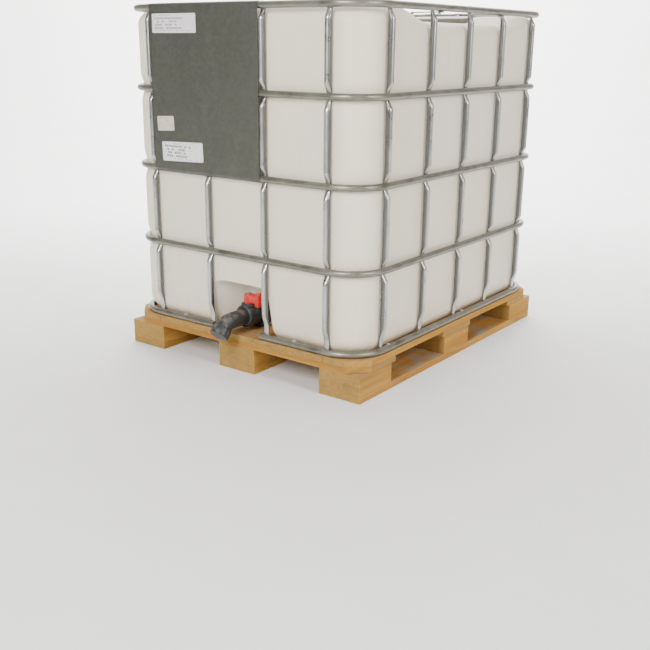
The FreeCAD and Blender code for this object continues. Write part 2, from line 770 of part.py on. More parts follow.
def lid_vent():
    """The vent cap in the middle of the lid."""
    plate_top = LID_TOP_Z - LID_BAR_H
    stem = rod(LID_VENT_R - 4, vec(0, 0, lid_room_top()), UP, LID_PLATE_T)
    cap = rod(LID_VENT_R, vec(0, 0, plate_top), UP, 4.0)
    cap = cap.makeFillet(1.5, [e for e in cap.Edges if e.BoundBox.ZMin > plate_top + 1])
    slot = block(-12, 12, -1.5, 1.5, plate_top + 2.5, plate_top + 6)
    return stem.fuse(cap).cut(slot)


# ----------------------------------------------------------------- valve

def flange_front_y():
    """The front of the clamped flange."""
    return OUTLET_NECK_END_Y - GASKET_T - FLANGE_T


def valve_gasket():
    """The flat ring between the outlet neck and the valve's flange."""
    return ring(OUTLET_NECK_R, OUTLET_BORE_R, vec(0, OUTLET_NECK_END_Y, OUTLET_Z), FORWARD, GASKET_T)


def valve_nut():
    """The ribbed ring nut that clamps the valve to the outlet neck."""
    front_y = flange_front_y() - NUT_LIP_T
    length = NUT_BACK_Y - front_y
    start = vec(0, NUT_BACK_Y, OUTLET_Z)
    nut = rod(NUT_R, start, FORWARD, length)
    nut = nut.makeFillet(3.0, [e for e in nut.Edges if e.BoundBox.YMax < front_y + 1])
    ribs = []
    for i in range(NUT_RIBS):
        angle = 2 * math.pi * (i + 0.5) / NUT_RIBS
        reach = NUT_RIB_R - 4.0
        centre = vec(reach * math.cos(angle), NUT_BACK_Y, OUTLET_Z + reach * math.sin(angle))
        ribs.append(rod(4.0, centre, FORWARD, length - 4))
    nut = nut.multiFuse(ribs)
    nut = nut.cut(rod(VALVE_PIPE_R + NUT_GAP, start, FORWARD, length + 1))
    nut = nut.cut(rod(OUTLET_NECK_R + NUT_GAP, start, FORWARD, NUT_BACK_Y - OUTLET_NECK_END_Y))
    flange_start = vec(0, OUTLET_NECK_END_Y, OUTLET_Z)
    return nut.cut(rod(FLANGE_R + NUT_GAP, flange_start, FORWARD, GASKET_T + FLANGE_T))


def spout_points(extra):
    """The line of the spout, from inside the housing to its mouth, run on by extra."""
    fall = math.radians(SPOUT_FALL)
    reach = SPOUT_AFTER_BEND + extra
    return [
        vec(0, BALL_Y - HOUSING_HALF + 4, OUTLET_Z),
        vec(0, SPOUT_CORNER_Y, OUTLET_Z),
        vec(0, SPOUT_CORNER_Y - reach * math.cos(fall), OUTLET_Z - reach * math.sin(fall)),
    ]


def spout_mouth():
    """The centre of the spout's mouth."""
    return spout_points(0.0)[-1]


def spout_axis():
    """The direction in which the spout points."""
    fall = math.radians(SPOUT_FALL)
    return vec(0, -math.cos(fall), -math.sin(fall))


def valve_body():
    """The housing of the ball valve with its flange, bonnet and bent spout."""
    flange = rod(FLANGE_R, vec(0, OUTLET_NECK_END_Y - GASKET_T, OUTLET_Z), FORWARD, FLANGE_T)
    inlet_l = flange_front_y() - BALL_Y
    inlet = rod(VALVE_PIPE_R, vec(0, flange_front_y() + 1, OUTLET_Z), FORWARD, inlet_l)
    housing = rod(HOUSING_R, vec(0, BALL_Y + HOUSING_HALF, OUTLET_Z), FORWARD, 2 * HOUSING_HALF)
    housing = housing.makeFillet(9.0, [e for e in housing.Edges if e.BoundBox.YLength < 1])
    bonnet = rod(BONNET_R, vec(0, BALL_Y, OUTLET_Z + HOUSING_R - 8), UP,
                 BONNET_TOP_Z - OUTLET_Z - HOUSING_R + 8)
    spout = swept_rod(spout_points(0.0), SPOUT_BEND_R, SPOUT_R)
    collar_at = spout_mouth() - spout_axis() * (CAP_SKIRT + 3)
    collar = rod(SPOUT_R + 3, collar_at, spout_axis(), 4)
    thread = rod(SPOUT_R + 1, spout_mouth() - spout_axis() * (CAP_SKIRT - 4), spout_axis(), CAP_SKIRT - 4)
    body = flange.multiFuse([inlet, housing, bonnet, spout, collar, thread])
    body = body.cut(swept_rod(spout_points(5.0), SPOUT_BEND_R, VALVE_BORE_R))
    body = body.cut(rod(VALVE_BORE_R, vec(0, flange_front_y() + 20, OUTLET_Z), FORWARD, VALVE_BORE_RUN))
    body = body.cut(rod(BALL_ROOM_R, vec(0, BALL_Y + BALL_ROOM_HALF, OUTLET_Z), FORWARD, 2 * BALL_ROOM_HALF))
    stem_start = vec(0, BALL_Y, OUTLET_Z)
    body = body.cut(rod(STEM_R + STEM_GAP, stem_start, UP, 80))
    seal_start = vec(0, BALL_Y, BONNET_TOP_Z - 2 - STEM_SEAL_T)
    return body.cut(rod(STEM_SEAL_R, seal_start, UP, STEM_SEAL_T))


def ball_seats():
    """The two rings that the ball turns between."""
    seats = []
    for side in (-1, 1):
        start = vec(0, BALL_Y + side * BALL_ROOM_HALF, OUTLET_Z)
        seat = ring(BALL_ROOM_R, VALVE_BORE_R, start, BACK * -side, SEAT_DEPTH)
        seats.append(seat.cut(Part.makeSphere(BALL_R + SEAT_GAP, vec(0, BALL_Y, OUTLET_Z))))
    return seats


def tongue(grow):
    """The flat key at the foot of the stem."""
    wide, long, deep = STEM_TONGUE
    top = OUTLET_Z + BALL_R
    return block(-long / 2 - grow, long / 2 + grow, BALL_Y - wide / 2 - grow, BALL_Y + wide / 2 + grow,
                 top - deep - grow, top)


def valve_ball():
    """The ball, closed: its bore lies across the outlet."""
    ball = Part.makeSphere(BALL_R, vec(0, BALL_Y, OUTLET_Z))
    ball = ball.cut(rod(VALVE_BORE_R, vec(-2 * BALL_R, BALL_Y, OUTLET_Z), RIGHT, 4 * BALL_R))
    slot = tongue(0.05)
    return ball.cut(slot)


def valve_stem():
    """The stem that turns the ball, with a flat key below and a screw hole above."""
    foot = OUTLET_Z + BALL_R - 0.4
    stem = rod(STEM_R, vec(0, BALL_Y, foot), UP, STEM_TOP_Z - foot)
    stem = stem.fuse(tongue(0.0))
    return stem.cut(rod(2.5, vec(0, BALL_Y, STEM_TOP_Z - 16), UP, 20))


def stem_seal():
    """The ring that seals the stem in the bonnet."""
    start = vec(0, BALL_Y, BONNET_TOP_Z - 2 - STEM_SEAL_T)
    return ring(STEM_SEAL_R, STEM_R + STEM_GAP, start, UP, STEM_SEAL_T)


def valve_lever():
    """The grip that opens the valve; closed, it points to +X."""
    low = BONNET_TOP_Z + LEVER_BOTTOM_GAP
    hub = rod(LEVER_HUB_R, vec(0, BALL_Y, low), UP, LEVER_HUB_TOP_Z - low)
    side = [
        vec(-12, BALL_Y - LEVER_HALF_WIDTH, low + 4),
        vec(28, BALL_Y - LEVER_HALF_WIDTH, low + 2),
        vec(LEVER_LENGTH, BALL_Y - LEVER_HALF_WIDTH, low + 5),
        vec(LEVER_LENGTH, BALL_Y - LEVER_HALF_WIDTH, LEVER_TOP_Z - 4),
        vec(LEVER_LENGTH - 12, BALL_Y - LEVER_HALF_WIDTH, LEVER_TOP_Z),
        vec(14, BALL_Y - LEVER_HALF_WIDTH, LEVER_HUB_TOP_Z),
        vec(-12, BALL_Y - LEVER_HALF_WIDTH, LEVER_HUB_TOP_Z),
    ]
    arm = polygon_prism(side, BACK * (2 * LEVER_HALF_WIDTH))
    end = [e for e in arm.Edges if e.BoundBox.XMin > LEVER_LENGTH - 1]
    arm = arm.makeFillet(5.0, end)
    lever = hub.fuse(arm)
    stem_room = rod(STEM_R, vec(0, BALL_Y, low - 1), UP, STEM_TOP_Z - low + 1)
    return lever.cut(stem_room).cut(rod(2.6, vec(0, BALL_Y, low), UP, 60))


def lever_screw():
    """The screw on top of the lever, down into the stem."""
    shank = rod(2.45, vec(0, BALL_Y, STEM_TOP_Z - 14), UP, LEVER_HUB_TOP_Z - STEM_TOP_Z + 14)
    head = rod(6.0, vec(0, BALL_Y, LEVER_HUB_TOP_Z), UP, 3.6)
    head = head.makeFillet(1.2, [e for e in head.Edges if e.BoundBox.ZMin > LEVER_HUB_TOP_Z + 1])
    drive = hex_prism(2.9, vec(0, BALL_Y, LEVER_HUB_TOP_Z + 1.4), 5)
    return shank.fuse(head).cut(drive)


def on_spout(solid):
    """Move a piece made on the Z axis, mouth up at the origin, to the mouth of the spout."""
    solid.Placement = FreeCAD.Placement(spout_mouth(), FreeCAD.Rotation(UP, spout_axis()))
    return solid


def outlet_cap():
    """The ribbed screw cap over the mouth of the spout."""
    inside = CAP_SEAL_T + 2 * SEAL_GAP
    length = CAP_SKIRT + inside + CAP_T - 4
    cap = rod(CAP_R - CAP_RIB_R, vec(0, 0, inside + CAP_T - length), UP, length)
    cap = cap.makeFillet(2.0, [e for e in cap.Edges if e.BoundBox.ZMin > inside])
    ribs = grip_ribs(CAP_RIBS, CAP_R - 2 * CAP_RIB_R, 2 * CAP_RIB_R, inside + CAP_T - length, length - 3)
    room = rod(SPOUT_R + 1 + CAP_THREAD_GAP, vec(0, 0, inside - length), UP, length)
    return on_spout(cap.multiFuse(ribs).cut(room))


def outlet_cap_seal():
    """The flat ring in the screw cap."""
    return on_spout(ring(SPOUT_R + 0.5, VALVE_BORE_R, vec(0, 0, SEAL_GAP), UP, CAP_SEAL_T))


# ---------------------------------------------------------------- output

def all_nodes():
    """Every sub-part by name; a list is a group of like pieces in one node."""
    holes = fastener_holes()
    nodes = {
        "bottom_board_left": bottom_board(0, holes),
        "bottom_board_middle": bottom_board(1, holes),
        "bottom_board_right": bottom_board(2, holes),
        "blocks_front": block_row(0, holes),
        "blocks_middle": block_row(1, holes),
        "blocks_rear": block_row(2, holes),
        "stringer_front": stringer(0, holes),
        "stringer_middle": stringer(1, holes),
        "stringer_rear": stringer(2, holes),
        "deck_boards": deck_boards(holes),
        "pallet_nails": pallet_nails(),
        "rail_bottom": bottom_rail(),
        "rail_second": closed_rail(MIDDLE_RAIL_Z[0]),
        "rail_third": closed_rail(MIDDLE_RAIL_Z[1]),
        "rail_fourth": closed_rail(MIDDLE_RAIL_Z[2]),
        "rail_top": top_rail(),
        "rail_sleeves": rail_sleeves(),
        "hold_down_screws": hold_down_screws(),
        "top_bar_front": top_bar(-BAR_Y),
        "top_bar_rear": top_bar(BAR_Y),
        "top_bar_screws": top_bar_screws(),
        "label_plate": label_plate(),
        "plate_labels": plate_labels(),
        "bottle": bottle(),
        "lid": lid(),
        "lid_seal": lid_seal(),
        "lid_vent": lid_vent(),
        "valve_gasket": valve_gasket(),
        "valve_nut": valve_nut(),
        "valve_body": valve_body(),
        "ball_seats": ball_seats(),
        "valve_ball": valve_ball(),
        "valve_stem": valve_stem(),
        "stem_seal": stem_seal(),
        "valve_lever": valve_lever(),
        "lever_screw": lever_screw(),
        "outlet_cap": outlet_cap(),
        "outlet_cap_seal": outlet_cap_seal(),
    }
    nodes.update(placed_uprights())
    return nodes


def main():
    os.makedirs(OUT, exist_ok=True)
    for name, made in all_nodes().items():
        pieces = made if isinstance(made, list) else [made]
        solids = [solid for piece in pieces for solid in piece.Solids]
        shape = solids[0] if len(solids) == 1 else Part.makeCompound(solids)
        print("%-22s solids %2d  valid %s  volume %.1f cm3" % (
            name, len(solids), shape.isValid(), shape.Volume / 1000))
        shape.exportStep(os.path.join(OUT, name + ".step"))


main()
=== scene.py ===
import math
import random

import bmesh
import bpy
from bpy.props import FloatProperty, FloatVectorProperty, IntProperty, PointerProperty
from bpy.types import Operator, Panel, PropertyGroup
from mathutils import Matrix, Vector, noise


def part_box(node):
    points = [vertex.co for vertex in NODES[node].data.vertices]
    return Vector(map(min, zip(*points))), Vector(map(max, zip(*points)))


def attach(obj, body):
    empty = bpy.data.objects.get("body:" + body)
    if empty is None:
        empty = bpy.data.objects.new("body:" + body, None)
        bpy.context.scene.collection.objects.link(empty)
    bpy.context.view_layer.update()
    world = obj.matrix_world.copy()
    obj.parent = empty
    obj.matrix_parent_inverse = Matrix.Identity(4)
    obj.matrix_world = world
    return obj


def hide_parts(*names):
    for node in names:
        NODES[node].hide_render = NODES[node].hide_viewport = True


bl_info = {
    "name": "Intermediate bulk container",
    "version": (1, 0, 0),
    "blender": (4, 5, 0),
    "location": "View3D > Sidebar > Container",
    "description": "Bottle, cage and pallet of a bulk container, with their finishes",
    "category": "Add Mesh",
}

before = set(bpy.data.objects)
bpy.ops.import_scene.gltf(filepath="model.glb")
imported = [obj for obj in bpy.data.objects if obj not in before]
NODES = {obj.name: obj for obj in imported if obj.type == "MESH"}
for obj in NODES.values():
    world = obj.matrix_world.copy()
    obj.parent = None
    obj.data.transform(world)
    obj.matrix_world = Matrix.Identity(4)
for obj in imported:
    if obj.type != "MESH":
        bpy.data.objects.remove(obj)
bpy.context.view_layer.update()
MM = 0.001

BODY = "container"
FRONT = Vector((0.0, -1.0, 0.0))
UP = Vector((0.0, 0.0, 1.0))

RAILS = ("rail_bottom", "rail_second", "rail_third", "rail_fourth", "rail_top")
FRONT_UPRIGHTS = tuple("upright_front_%d" % i for i in range(1, 5))
REAR_UPRIGHTS = tuple("upright_rear_%d" % i for i in range(1, 5))
LEFT_UPRIGHTS = tuple("upright_left_%d" % i for i in range(1, 6))
RIGHT_UPRIGHTS = tuple("upright_right_%d" % i for i in range(1, 6))
UPRIGHTS = FRONT_UPRIGHTS + REAR_UPRIGHTS + LEFT_UPRIGHTS + RIGHT_UPRIGHTS
DECK_BOARDS = 7
CAGE_END = 0.572    # the front and rear walls of the cage lie further out than this


# ------------------------------------------------------------------ shader tools

class Value:
    """One output of a node; sums and products of it add Math nodes."""

    def __init__(self, look, socket):
        self.look = look
        self.socket = socket

    def __add__(self, other):
        return self.look.maths("ADD", self, other)

    def __radd__(self, other):
        return self.look.maths("ADD", other, self)

    def __sub__(self, other):
        return self.look.maths("SUBTRACT", self, other)

    def __rsub__(self, other):
        return self.look.maths("SUBTRACT", other, self)

    def __mul__(self, other):
        return self.look.maths("MULTIPLY", self, other)

    def __truediv__(self, other):
        return self.look.maths("DIVIDE", self, other)

    def __abs__(self):
        return self.look.maths("ABSOLUTE", self)

    def floor(self):
        return self.look.maths("FLOOR", self)

    def fraction(self):
        return self.look.maths("FRACT", self)

    def over(self, other):
        """1 where this is more than other, else 0."""
        return self.look.maths("GREATER_THAN", self, other)

    def under(self, other):
        return self.look.maths("LESS_THAN", self, other)


class Look:
    """A procedural material, put together node by node."""

    def __init__(self, name):
        self.material = bpy.data.materials.new(name)
        self.material.use_nodes = True
        self.nodes = self.material.node_tree.nodes
        self.links = self.material.node_tree.links
        self.nodes.clear()
        self.source = self.node("ShaderNodeTexCoord")

    def node(self, kind, settings=None, sockets=None):
        """Add a node: its settings first, then the values or links of its sockets."""
        made = self.nodes.new(kind)
        for key, value in (settings or {}).items():
            if key == "stops":
                self.set_stops(made.color_ramp, value)
            else:
                setattr(made, key, value)
        for key, value in (sockets or {}).items():
            if isinstance(value, Value):
                self.links.new(value.socket, made.inputs[key])
            else:
                made.inputs[key].default_value = value
        return made

    def set_stops(self, ramp, stops):
        while len(ramp.elements) < len(stops):
            ramp.elements.new(1.0)
        for element, (place, colour) in zip(ramp.elements, stops):
            element.position = place
            element.color = (*colour, 1.0)

    def out(self, made, name):
        return Value(self, made.outputs[name])

    def maths(self, operation, *terms):
        made = self.node("ShaderNodeMath", {"operation": operation}, dict(enumerate(terms)))
        return self.out(made, 0)

    def place(self, scale=(1.0, 1.0, 1.0), turn=(0.0, 0.0, 0.0), shift=(0.0, 0.0, 0.0)):
        """Object coordinates, turned, stretched and moved."""
        made = self.node("ShaderNodeMapping", None, {
            "Vector": self.out(self.source, "Object"),
            "Scale": scale,
            "Rotation": turn,
            "Location": shift,
        })
        return self.out(made, "Vector")

    def parts(self, vector):
        """The three numbers of a vector."""
        made = self.node("ShaderNodeSeparateXYZ", None, {"Vector": vector})
        return [self.out(made, name) for name in ("X", "Y", "Z")]

    def joined(self, x, y, z):
        made = self.node("ShaderNodeCombineXYZ", None, {"X": x, "Y": y, "Z": z})
        return self.out(made, "Vector")

    def xyz(self):
        return self.parts(self.out(self.source, "Object"))

    def facing(self):
        """The surface's normal in the object's own directions, as three numbers."""
        return self.parts(self.out(self.source, "Normal"))

    def moved(self, vector, other):
        made = self.node("ShaderNodeVectorMath", {"operation": "ADD"}, {0: vector, 1: other})
        return self.out(made, "Vector")

    def clouds(self, vector, scale, detail=4.0, roughness=0.5, distortion=0.0):
        made = self.node("ShaderNodeTexNoise", None, {
            "Vector": vector,
            "Scale": scale,
            "Detail": detail,
            "Roughness": roughness,
            "Distortion": distortion,
        })
        return self.out(made, "Fac")

    def cells(self, vector, scale, feature="F1", output="Color"):
        made = self.node("ShaderNodeTexVoronoi", {"feature": feature}, {"Vector": vector, "Scale": scale})
        return self.out(made, output)

    def chance(self, vector):
        """A random number for every different vector."""
        made = self.node("ShaderNodeTexWhiteNoise", {"noise_dimensions": "3D"}, {"Vector": vector})
        return self.out(made, "Value")

    def span(self, value, low, high, to_low=0.0, to_high=1.0):
        """Rescale a value smoothly from one range to another, and hold it there."""
        made = self.node("ShaderNodeMapRange", {"interpolation_type": "SMOOTHSTEP"}, {
            "Value": value,
            "From Min": low,
            "From Max": high,
            "To Min": to_low,
            "To Max": to_high,
        })
        return self.out(made, "Result")

    def ramp(self, value, stops):
        made = self.node("ShaderNodeValToRGB", {"stops": stops}, {"Fac": value})
        return self.out(made, "Color")

    def blend(self, factor, first, second, how="MIX"):
        """Two colours mixed; a plain triple is a colour too."""
        made = self.node("ShaderNodeMix", {"data_type": "RGBA", "blend_type": how}, {
            0: factor,
            6: first if isinstance(first, Value) else (*first, 1.0),
            7: second if isinstance(second, Value) else (*second, 1.0),
        })
        return self.out(made, 2)

    def bumps(self, height, distance, strength=1.0, under=None):
        sockets = {"Height": height, "Distance": distance, "Strength": strength}
        if under is not None:
            sockets["Normal"] = under
        return self.out(self.node("ShaderNodeBump", None, sockets), "Normal")

    def finish(self, sockets):
        """Close the material with the shader and return it."""
        shader = self.node("ShaderNodeBsdfPrincipled", None, sockets)
        self.node("ShaderNodeOutputMaterial", None, {"Surface": self.out(shader, "BSDF")})
        return self.material


# ---------------------------------------------------------------------- finishes

def wood(name, grain, cell, tones, end_tone, dust, seed):
    """Sawn softwood. grain is 0 for boards along X and 1 along Y; cell is the size of one board."""
    look = Look(name)
    x, y, z = look.xyz()
    board = look.joined((x / cell[0] + 50.5).floor(), (y / cell[1] + 50.5).floor(),
                        (z / cell[2] + 50.5).floor() + seed)
    lot = look.chance(board)
    along = y if grain == 1 else x
    across = x if grain == 1 else y
    shifted = look.joined(across + lot * 7.0, along * 0.09 + lot * 3.0, z + lot * 5.0)
    wander = look.clouds(shifted, 9.0, 3.0, 0.5)
    rings = look.joined(across * 1.0 + wander * 0.09 + lot * 3.0, along * 0.03, z * 0.8 + wander * 0.05)
    broad = look.clouds(rings, 46.0, 2.0, 0.55)
    fine = look.clouds(look.joined(across * 1.0 + lot, along * 0.035, z), 420.0, 3.0, 0.6)
    colour = look.ramp(broad * 0.72 + fine * 0.28, [
        (0.30, tones[0]),
        (0.46, tones[1]),
        (0.55, tones[2]),
        (0.70, tones[1]),
    ])
    tint = look.ramp(lot, [(0.0, (0.86, 0.80, 0.74)), (0.5, (1.0, 1.0, 1.0)), (1.0, (1.10, 1.04, 0.94))])
    colour = look.blend(1.0, colour, tint, "MULTIPLY")
    knot_place = look.joined(across + lot * 4.0, along * 0.55 + lot * 9.0, z * 0.7)
    knot_cells = look.cells(knot_place, 5.2, "F1", "Distance")
    knot = look.span(knot_cells, 0.085, 0.05)
    colour = look.blend(knot * 0.75, colour, (0.16, 0.072, 0.028))
    normal = look.facing()
    end = look.span(abs(normal[grain]), 0.6, 0.9)
    arc_place = look.joined(across * 0.6 + lot, along * 0.02, z * 1.7 + wander * 0.03)
    arcs = look.clouds(arc_place, 120.0, 2.0, 0.6)
    end_colour = look.ramp(arcs * 0.8 + fine * 0.2, [(0.32, end_tone[0]), (0.68, end_tone[1])])
    colour = look.blend(end * 0.85, colour, end_colour)
    grime = look.clouds(look.place((1.0, 1.0, 2.2)), 11.0, 6.0, 0.62)
    stain = look.span(grime, 0.52, 0.78)
    colour = look.blend(stain * 0.55, colour, (0.13, 0.095, 0.050))
    top = look.span(normal[2], 0.5, 0.9)
    settled = look.span(look.clouds(look.place(), 17.0, 5.0, 0.6), 0.36, 0.66)
    colour = look.blend(top * settled * dust, colour, (0.30, 0.28, 0.24))
    scratch = look.clouds(look.joined(across, along * 0.02, z), 900.0, 2.0, 0.7)
    relief = broad * 0.5 + fine * 0.7 + scratch * 0.35 - knot * 0.4
    return look.finish({
        "Base Color": colour,
        "Roughness": look.span(fine, 0.2, 0.8, 0.62, 0.88),
        "Specular IOR Level": 0.12,
        "Normal": look.bumps(relief, 0.0016, 0.8),
    })


def galvanised(name, tone, rough, shine, seed, flank_shade=0.0):
    """Zinc-coated tube: fine spangle, dull bloom, rust specks, and painted shade darkening the flanks by
    their share.
    """
    look = Look(name)
    here = look.place((1.0, 1.0, 1.0), (0.3, 0.5, 0.2), (seed, 0.0, 0.0))
    grain = look.clouds(here, 150.0, 2.0, 0.5)
    spangle = look.cells(look.moved(here, look.joined(grain * 0.004, grain * 0.003, 0.0)), 150.0)
    bloom = look.clouds(here, 14.0, 6.0, 0.62)
    fine = look.clouds(here, 700.0, 3.0, 0.6)
    colour = look.ramp(bloom, [
        (0.30, tuple(c * 0.66 for c in tone)),
        (0.48, tone),
        (0.72, tuple(c * 1.22 for c in tone)),
    ])
    shade = look.parts(spangle)[0]
    colour = look.blend(0.10 + shade * 0.10, colour, (0.80, 0.82, 0.80), "OVERLAY")
    rust = look.span(look.clouds(look.place(shift=(seed, 3.0, 1.0)), 38.0, 7.0, 0.7), 0.69, 0.80)
    colour = look.blend(rust * 0.35, colour, (0.16, 0.10, 0.055))
    # Painted shade: the tube's flanks, facing along its wall, turn near black, standing in for the dark
    # edges of its reflections.
    if flank_shade:
        normal = look.facing()
        end_wall = abs(look.xyz()[1]).over(CAGE_END)
        sideways = abs(normal[0]) * end_wall + abs(normal[1]) * (1.0 - end_wall)
        painted_flank_shade = look.span(sideways, 0.45, 0.95) * look.span(bloom, 0.2, 0.6, 0.75, 1.0)
        colour = look.blend(painted_flank_shade * flank_shade, colour, (0.045, 0.047, 0.045))
    return look.finish({
        "Base Color": colour,
        "Metallic": look.span(bloom, 0.30, 0.70, shine, shine - 0.12),
        "Roughness": rough + bloom * 0.16 + shade * 0.06 + rust * 0.2,
        "Normal": look.bumps(fine * 0.12 + shade * 0.1 + bloom * 0.5, 0.0003, 0.35),
    })


def galvanised_sheet(name, tone):
    """Dark mottled zinc sheet with long scuffs and faint handling marks."""
    look = Look(name)
    here = look.place()
    mottle = look.clouds(look.place((1.0, 1.0, 0.5)), 7.0, 5.0, 0.52, 0.3)
    spangle = look.parts(look.cells(here, 95.0))[0]
    colour = look.ramp(mottle * 0.8 + spangle * 0.2, [
        (0.28, tuple(c * 0.84 for c in tone)),
        (0.46, tone),
        (0.62, tuple(c * 1.10 for c in tone)),
        (0.80, tuple(c * 1.28 for c in tone)),
    ])
    scuffs = look.clouds(look.place((1.0, 1.0, 9.0), (0.0, 0.16, 0.0)), 13.0, 6.0, 0.75)
    scuff = look.span(scuffs, 0.60, 0.74)
    colour = look.blend(scuff * 0.22, colour, (0.30, 0.30, 0.28))
    lines = look.clouds(look.place((40.0, 1.0, 1.0)), 6.0, 3.0, 0.5)
    return look.finish({
        "Base Color": colour,
        "Metallic": 0.72,
        "Roughness": look.span(mottle, 0.3, 0.7, 0.56, 0.40) + scuff * 0.12,
        "Normal": look.bumps(mottle * 0.6 + lines * 0.15 + spangle * 0.2, 0.0006, 0.5),
    })


def moulded_plastic(name, tone, rough, wear, wear_tone, sheen=0.4):
    """Injection-moulded plastic: fine grain, flow marks, dust and rubbed patches."""
    look = Look(name)
    here = look.place()
    grain = look.clouds(here, 1300.0, 2.0, 0.5)
    flow = look.clouds(look.place((1.0, 1.0, 2.6)), 30.0, 4.0, 0.55)
    rubbed = look.span(look.clouds(here, 62.0, 6.0, 0.7), 0.56, 0.74)
    normal = look.facing()
    dust = look.span(normal[2], 0.2, 0.95) * look.span(look.clouds(here, 45.0, 5.0, 0.65), 0.38, 0.66)
    colour = look.ramp(flow, [(0.3, tuple(c * 0.8 for c in tone)), (0.7, tuple(c * 1.18 for c in tone))])
    colour = look.blend(rubbed * wear, colour, wear_tone)
    colour = look.blend(dust * 0.28, colour, (0.42, 0.40, 0.36))
    return look.finish({
        "Base Color": colour,
        "Roughness": rough + rubbed * 0.15 + dust * 0.25,
        "Specular IOR Level": sheen,
        "Normal": look.bumps(grain * 0.4 + flow * 0.8, 0.0003, 0.7),
    })


def bottle_plastic(settings):
    """Milky natural plastic: cloudy in broad patches, warmer at the top, beige where it meets the deck."""
    look = Look("natural_plastic")
    here = look.place()
    height = look.xyz()[2]
    cloud = look.clouds(look.place((1.0, 1.0, 0.55)), 3.4, 4.0, 0.55, 0.4)
    small = look.clouds(here, 26.0, 5.0, 0.6)
    tone = tuple(settings.bottle_colour)
    warm = tuple(settings.bottle_warm)
    colour = look.blend(look.span(cloud, 0.34, 0.68), tone, warm)
    colour = look.blend(look.span(height, 0.70, 1.12) * 0.5, colour, warm)
    smear = look.span(look.clouds(look.place((1.0, 1.0, 0.22)), 21.0, 6.0, 0.68), 0.56, 0.76)
    colour = look.blend(smear * 0.16, colour, (0.40, 0.37, 0.31))
    low = look.span(height, 0.24, 0.13) * look.span(small, 0.25, 0.60)
    colour = look.blend(low * 0.45, colour, (0.60, 0.43, 0.24))
    ripple = look.clouds(look.place((1.0, 1.0, 1.4)), 7.0, 3.0, 0.5)
    orange_peel = look.clouds(here, 260.0, 3.0, 0.5)
    return look.finish({
        "Base Color": colour,
        "Roughness": look.span(small, 0.3, 0.7, 0.40, 0.54),
        "Specular IOR Level": 0.38,
        "Subsurface Weight": 0.22,
        "Subsurface Radius": (1.0, 0.85, 0.66),
        "Subsurface Scale": 0.02,
        # Painted light: the plastic glows faintly in its own colour, lightening the bottle and filling its
        # shaded parts.
        "Emission Color": colour,
        "Emission Strength": 0.10,
        "Normal": look.bumps(orange_peel, 0.0003, 0.5, look.bumps(ripple, 0.006, 0.4)),
    })


def rubber(name, tone):
    """Soft seal rubber or a seat ring, with a fine matt grain."""
    look = Look(name)
    grain = look.clouds(look.place(), 900.0, 3.0, 0.6)
    bloom = look.clouds(look.place(), 60.0, 5.0, 0.6)
    colour = look.ramp(bloom, [(0.3, tone), (0.75, tuple(c * 1.7 + 0.01 for c in tone))])
    return look.finish({
        "Base Color": colour,
        "Roughness": 0.62 + bloom * 0.25,
        "Normal": look.bumps(grain, 0.0002, 0.7),
    })


def zinc(name, tone, rust_from):
    """Plated screws and nails, dull, with some rust."""
    look = Look(name)
    here = look.place()
    patch = look.clouds(here, 210.0, 5.0, 0.65)
    rust = look.span(patch, rust_from, rust_from + 0.12)
    colour = look.blend(rust, look.ramp(patch, [(0.2, tone), (0.8, tuple(c * 1.3 for c in tone))]),
                        (0.20, 0.085, 0.035))
    return look.finish({
        "Base Color": colour,
        "Metallic": 0.9 - rust * 0.8,
        "Roughness": 0.36 + rust * 0.45,
        "Normal": look.bumps(patch, 0.0004, 0.7),
    })


def printed_paper(name, box, rows, seed, tone, ink, share):
    """A label with rows of plain bars for print, and dirt in the paper."""
    look = Look(name)
    x, y, z = look.xyz()
    wide = box[1].x - box[0].x
    tall = box[1].z - box[0].z
    u = (x - box[0].x) / wide
    v = (z - box[0].z) / tall
    row = (v * rows).floor()
    word = (u * 46.0 + look.chance(look.joined(row, seed, 0.0)) * 9.0) / 2.6
    shown = look.chance(look.joined(word.floor(), row, seed)).over(1.0 - share)
    gap = word.fraction().under(0.84)
    body = abs((v * rows).fraction() - 0.5).under(0.30)
    ends = look.chance(look.joined(row, seed + 4.0, 1.0)) * 0.5 + 0.42
    inside = u.over(0.06) * u.under(ends) * v.over(0.10) * v.under(0.90)
    bars = shown * gap * body * inside
    speck = look.clouds(look.place(), 420.0, 4.0, 0.7)
    dirt = look.span(look.clouds(look.place(), 34.0, 6.0, 0.65), 0.46, 0.74)
    colour = look.blend(bars * look.span(speck, 0.25, 0.55), tone, ink)
    colour = look.blend(dirt * 0.35, colour, (0.36, 0.33, 0.28))
    return look.finish({
        "Base Color": colour,
        "Roughness": 0.55 + dirt * 0.2,
        "Specular IOR Level": 0.3,
        "Normal": look.bumps(speck * 0.3 + dirt * 0.6, 0.0003, 0.6),
    })


# ------------------------------------------------------------------- mesh tools

def put(bm, name, body, material, replaced=(), sharp=38.0):
    """Turn a bmesh into a piece that rides on a body."""
    mesh = bpy.data.meshes.new(name)
    bm.normal_update()
    bm.to_mesh(mesh)
    bm.free()
    mesh.shade_smooth()
    mesh.set_sharp_from_angle(angle=math.radians(sharp))
    mesh.materials.append(material)
    piece = bpy.data.objects.new(name, mesh)
    bpy.context.scene.collection.objects.link(piece)
    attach(piece, body)
    if replaced:
        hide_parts(*replaced)


def closed(bm):
    """Join what meets and turn every face outward."""
    bmesh.ops.remove_doubles(bm, verts=bm.verts, dist=1e-6)
    bmesh.ops.recalc_face_normals(bm, faces=bm.faces)


def cut(bm, axis, place):
    """Cut every face along a plane square to an axis, without taking anything away."""
    point = Vector((0.0, 0.0, 0.0))
    normal = Vector((0.0, 0.0, 0.0))
    point[axis] = place
    normal[axis] = 1.0
    geometry = bm.verts[:] + bm.edges[:] + bm.faces[:]
    bmesh.ops.bisect_plane(bm, geom=geometry, dist=1e-7, plane_co=point, plane_no=normal)


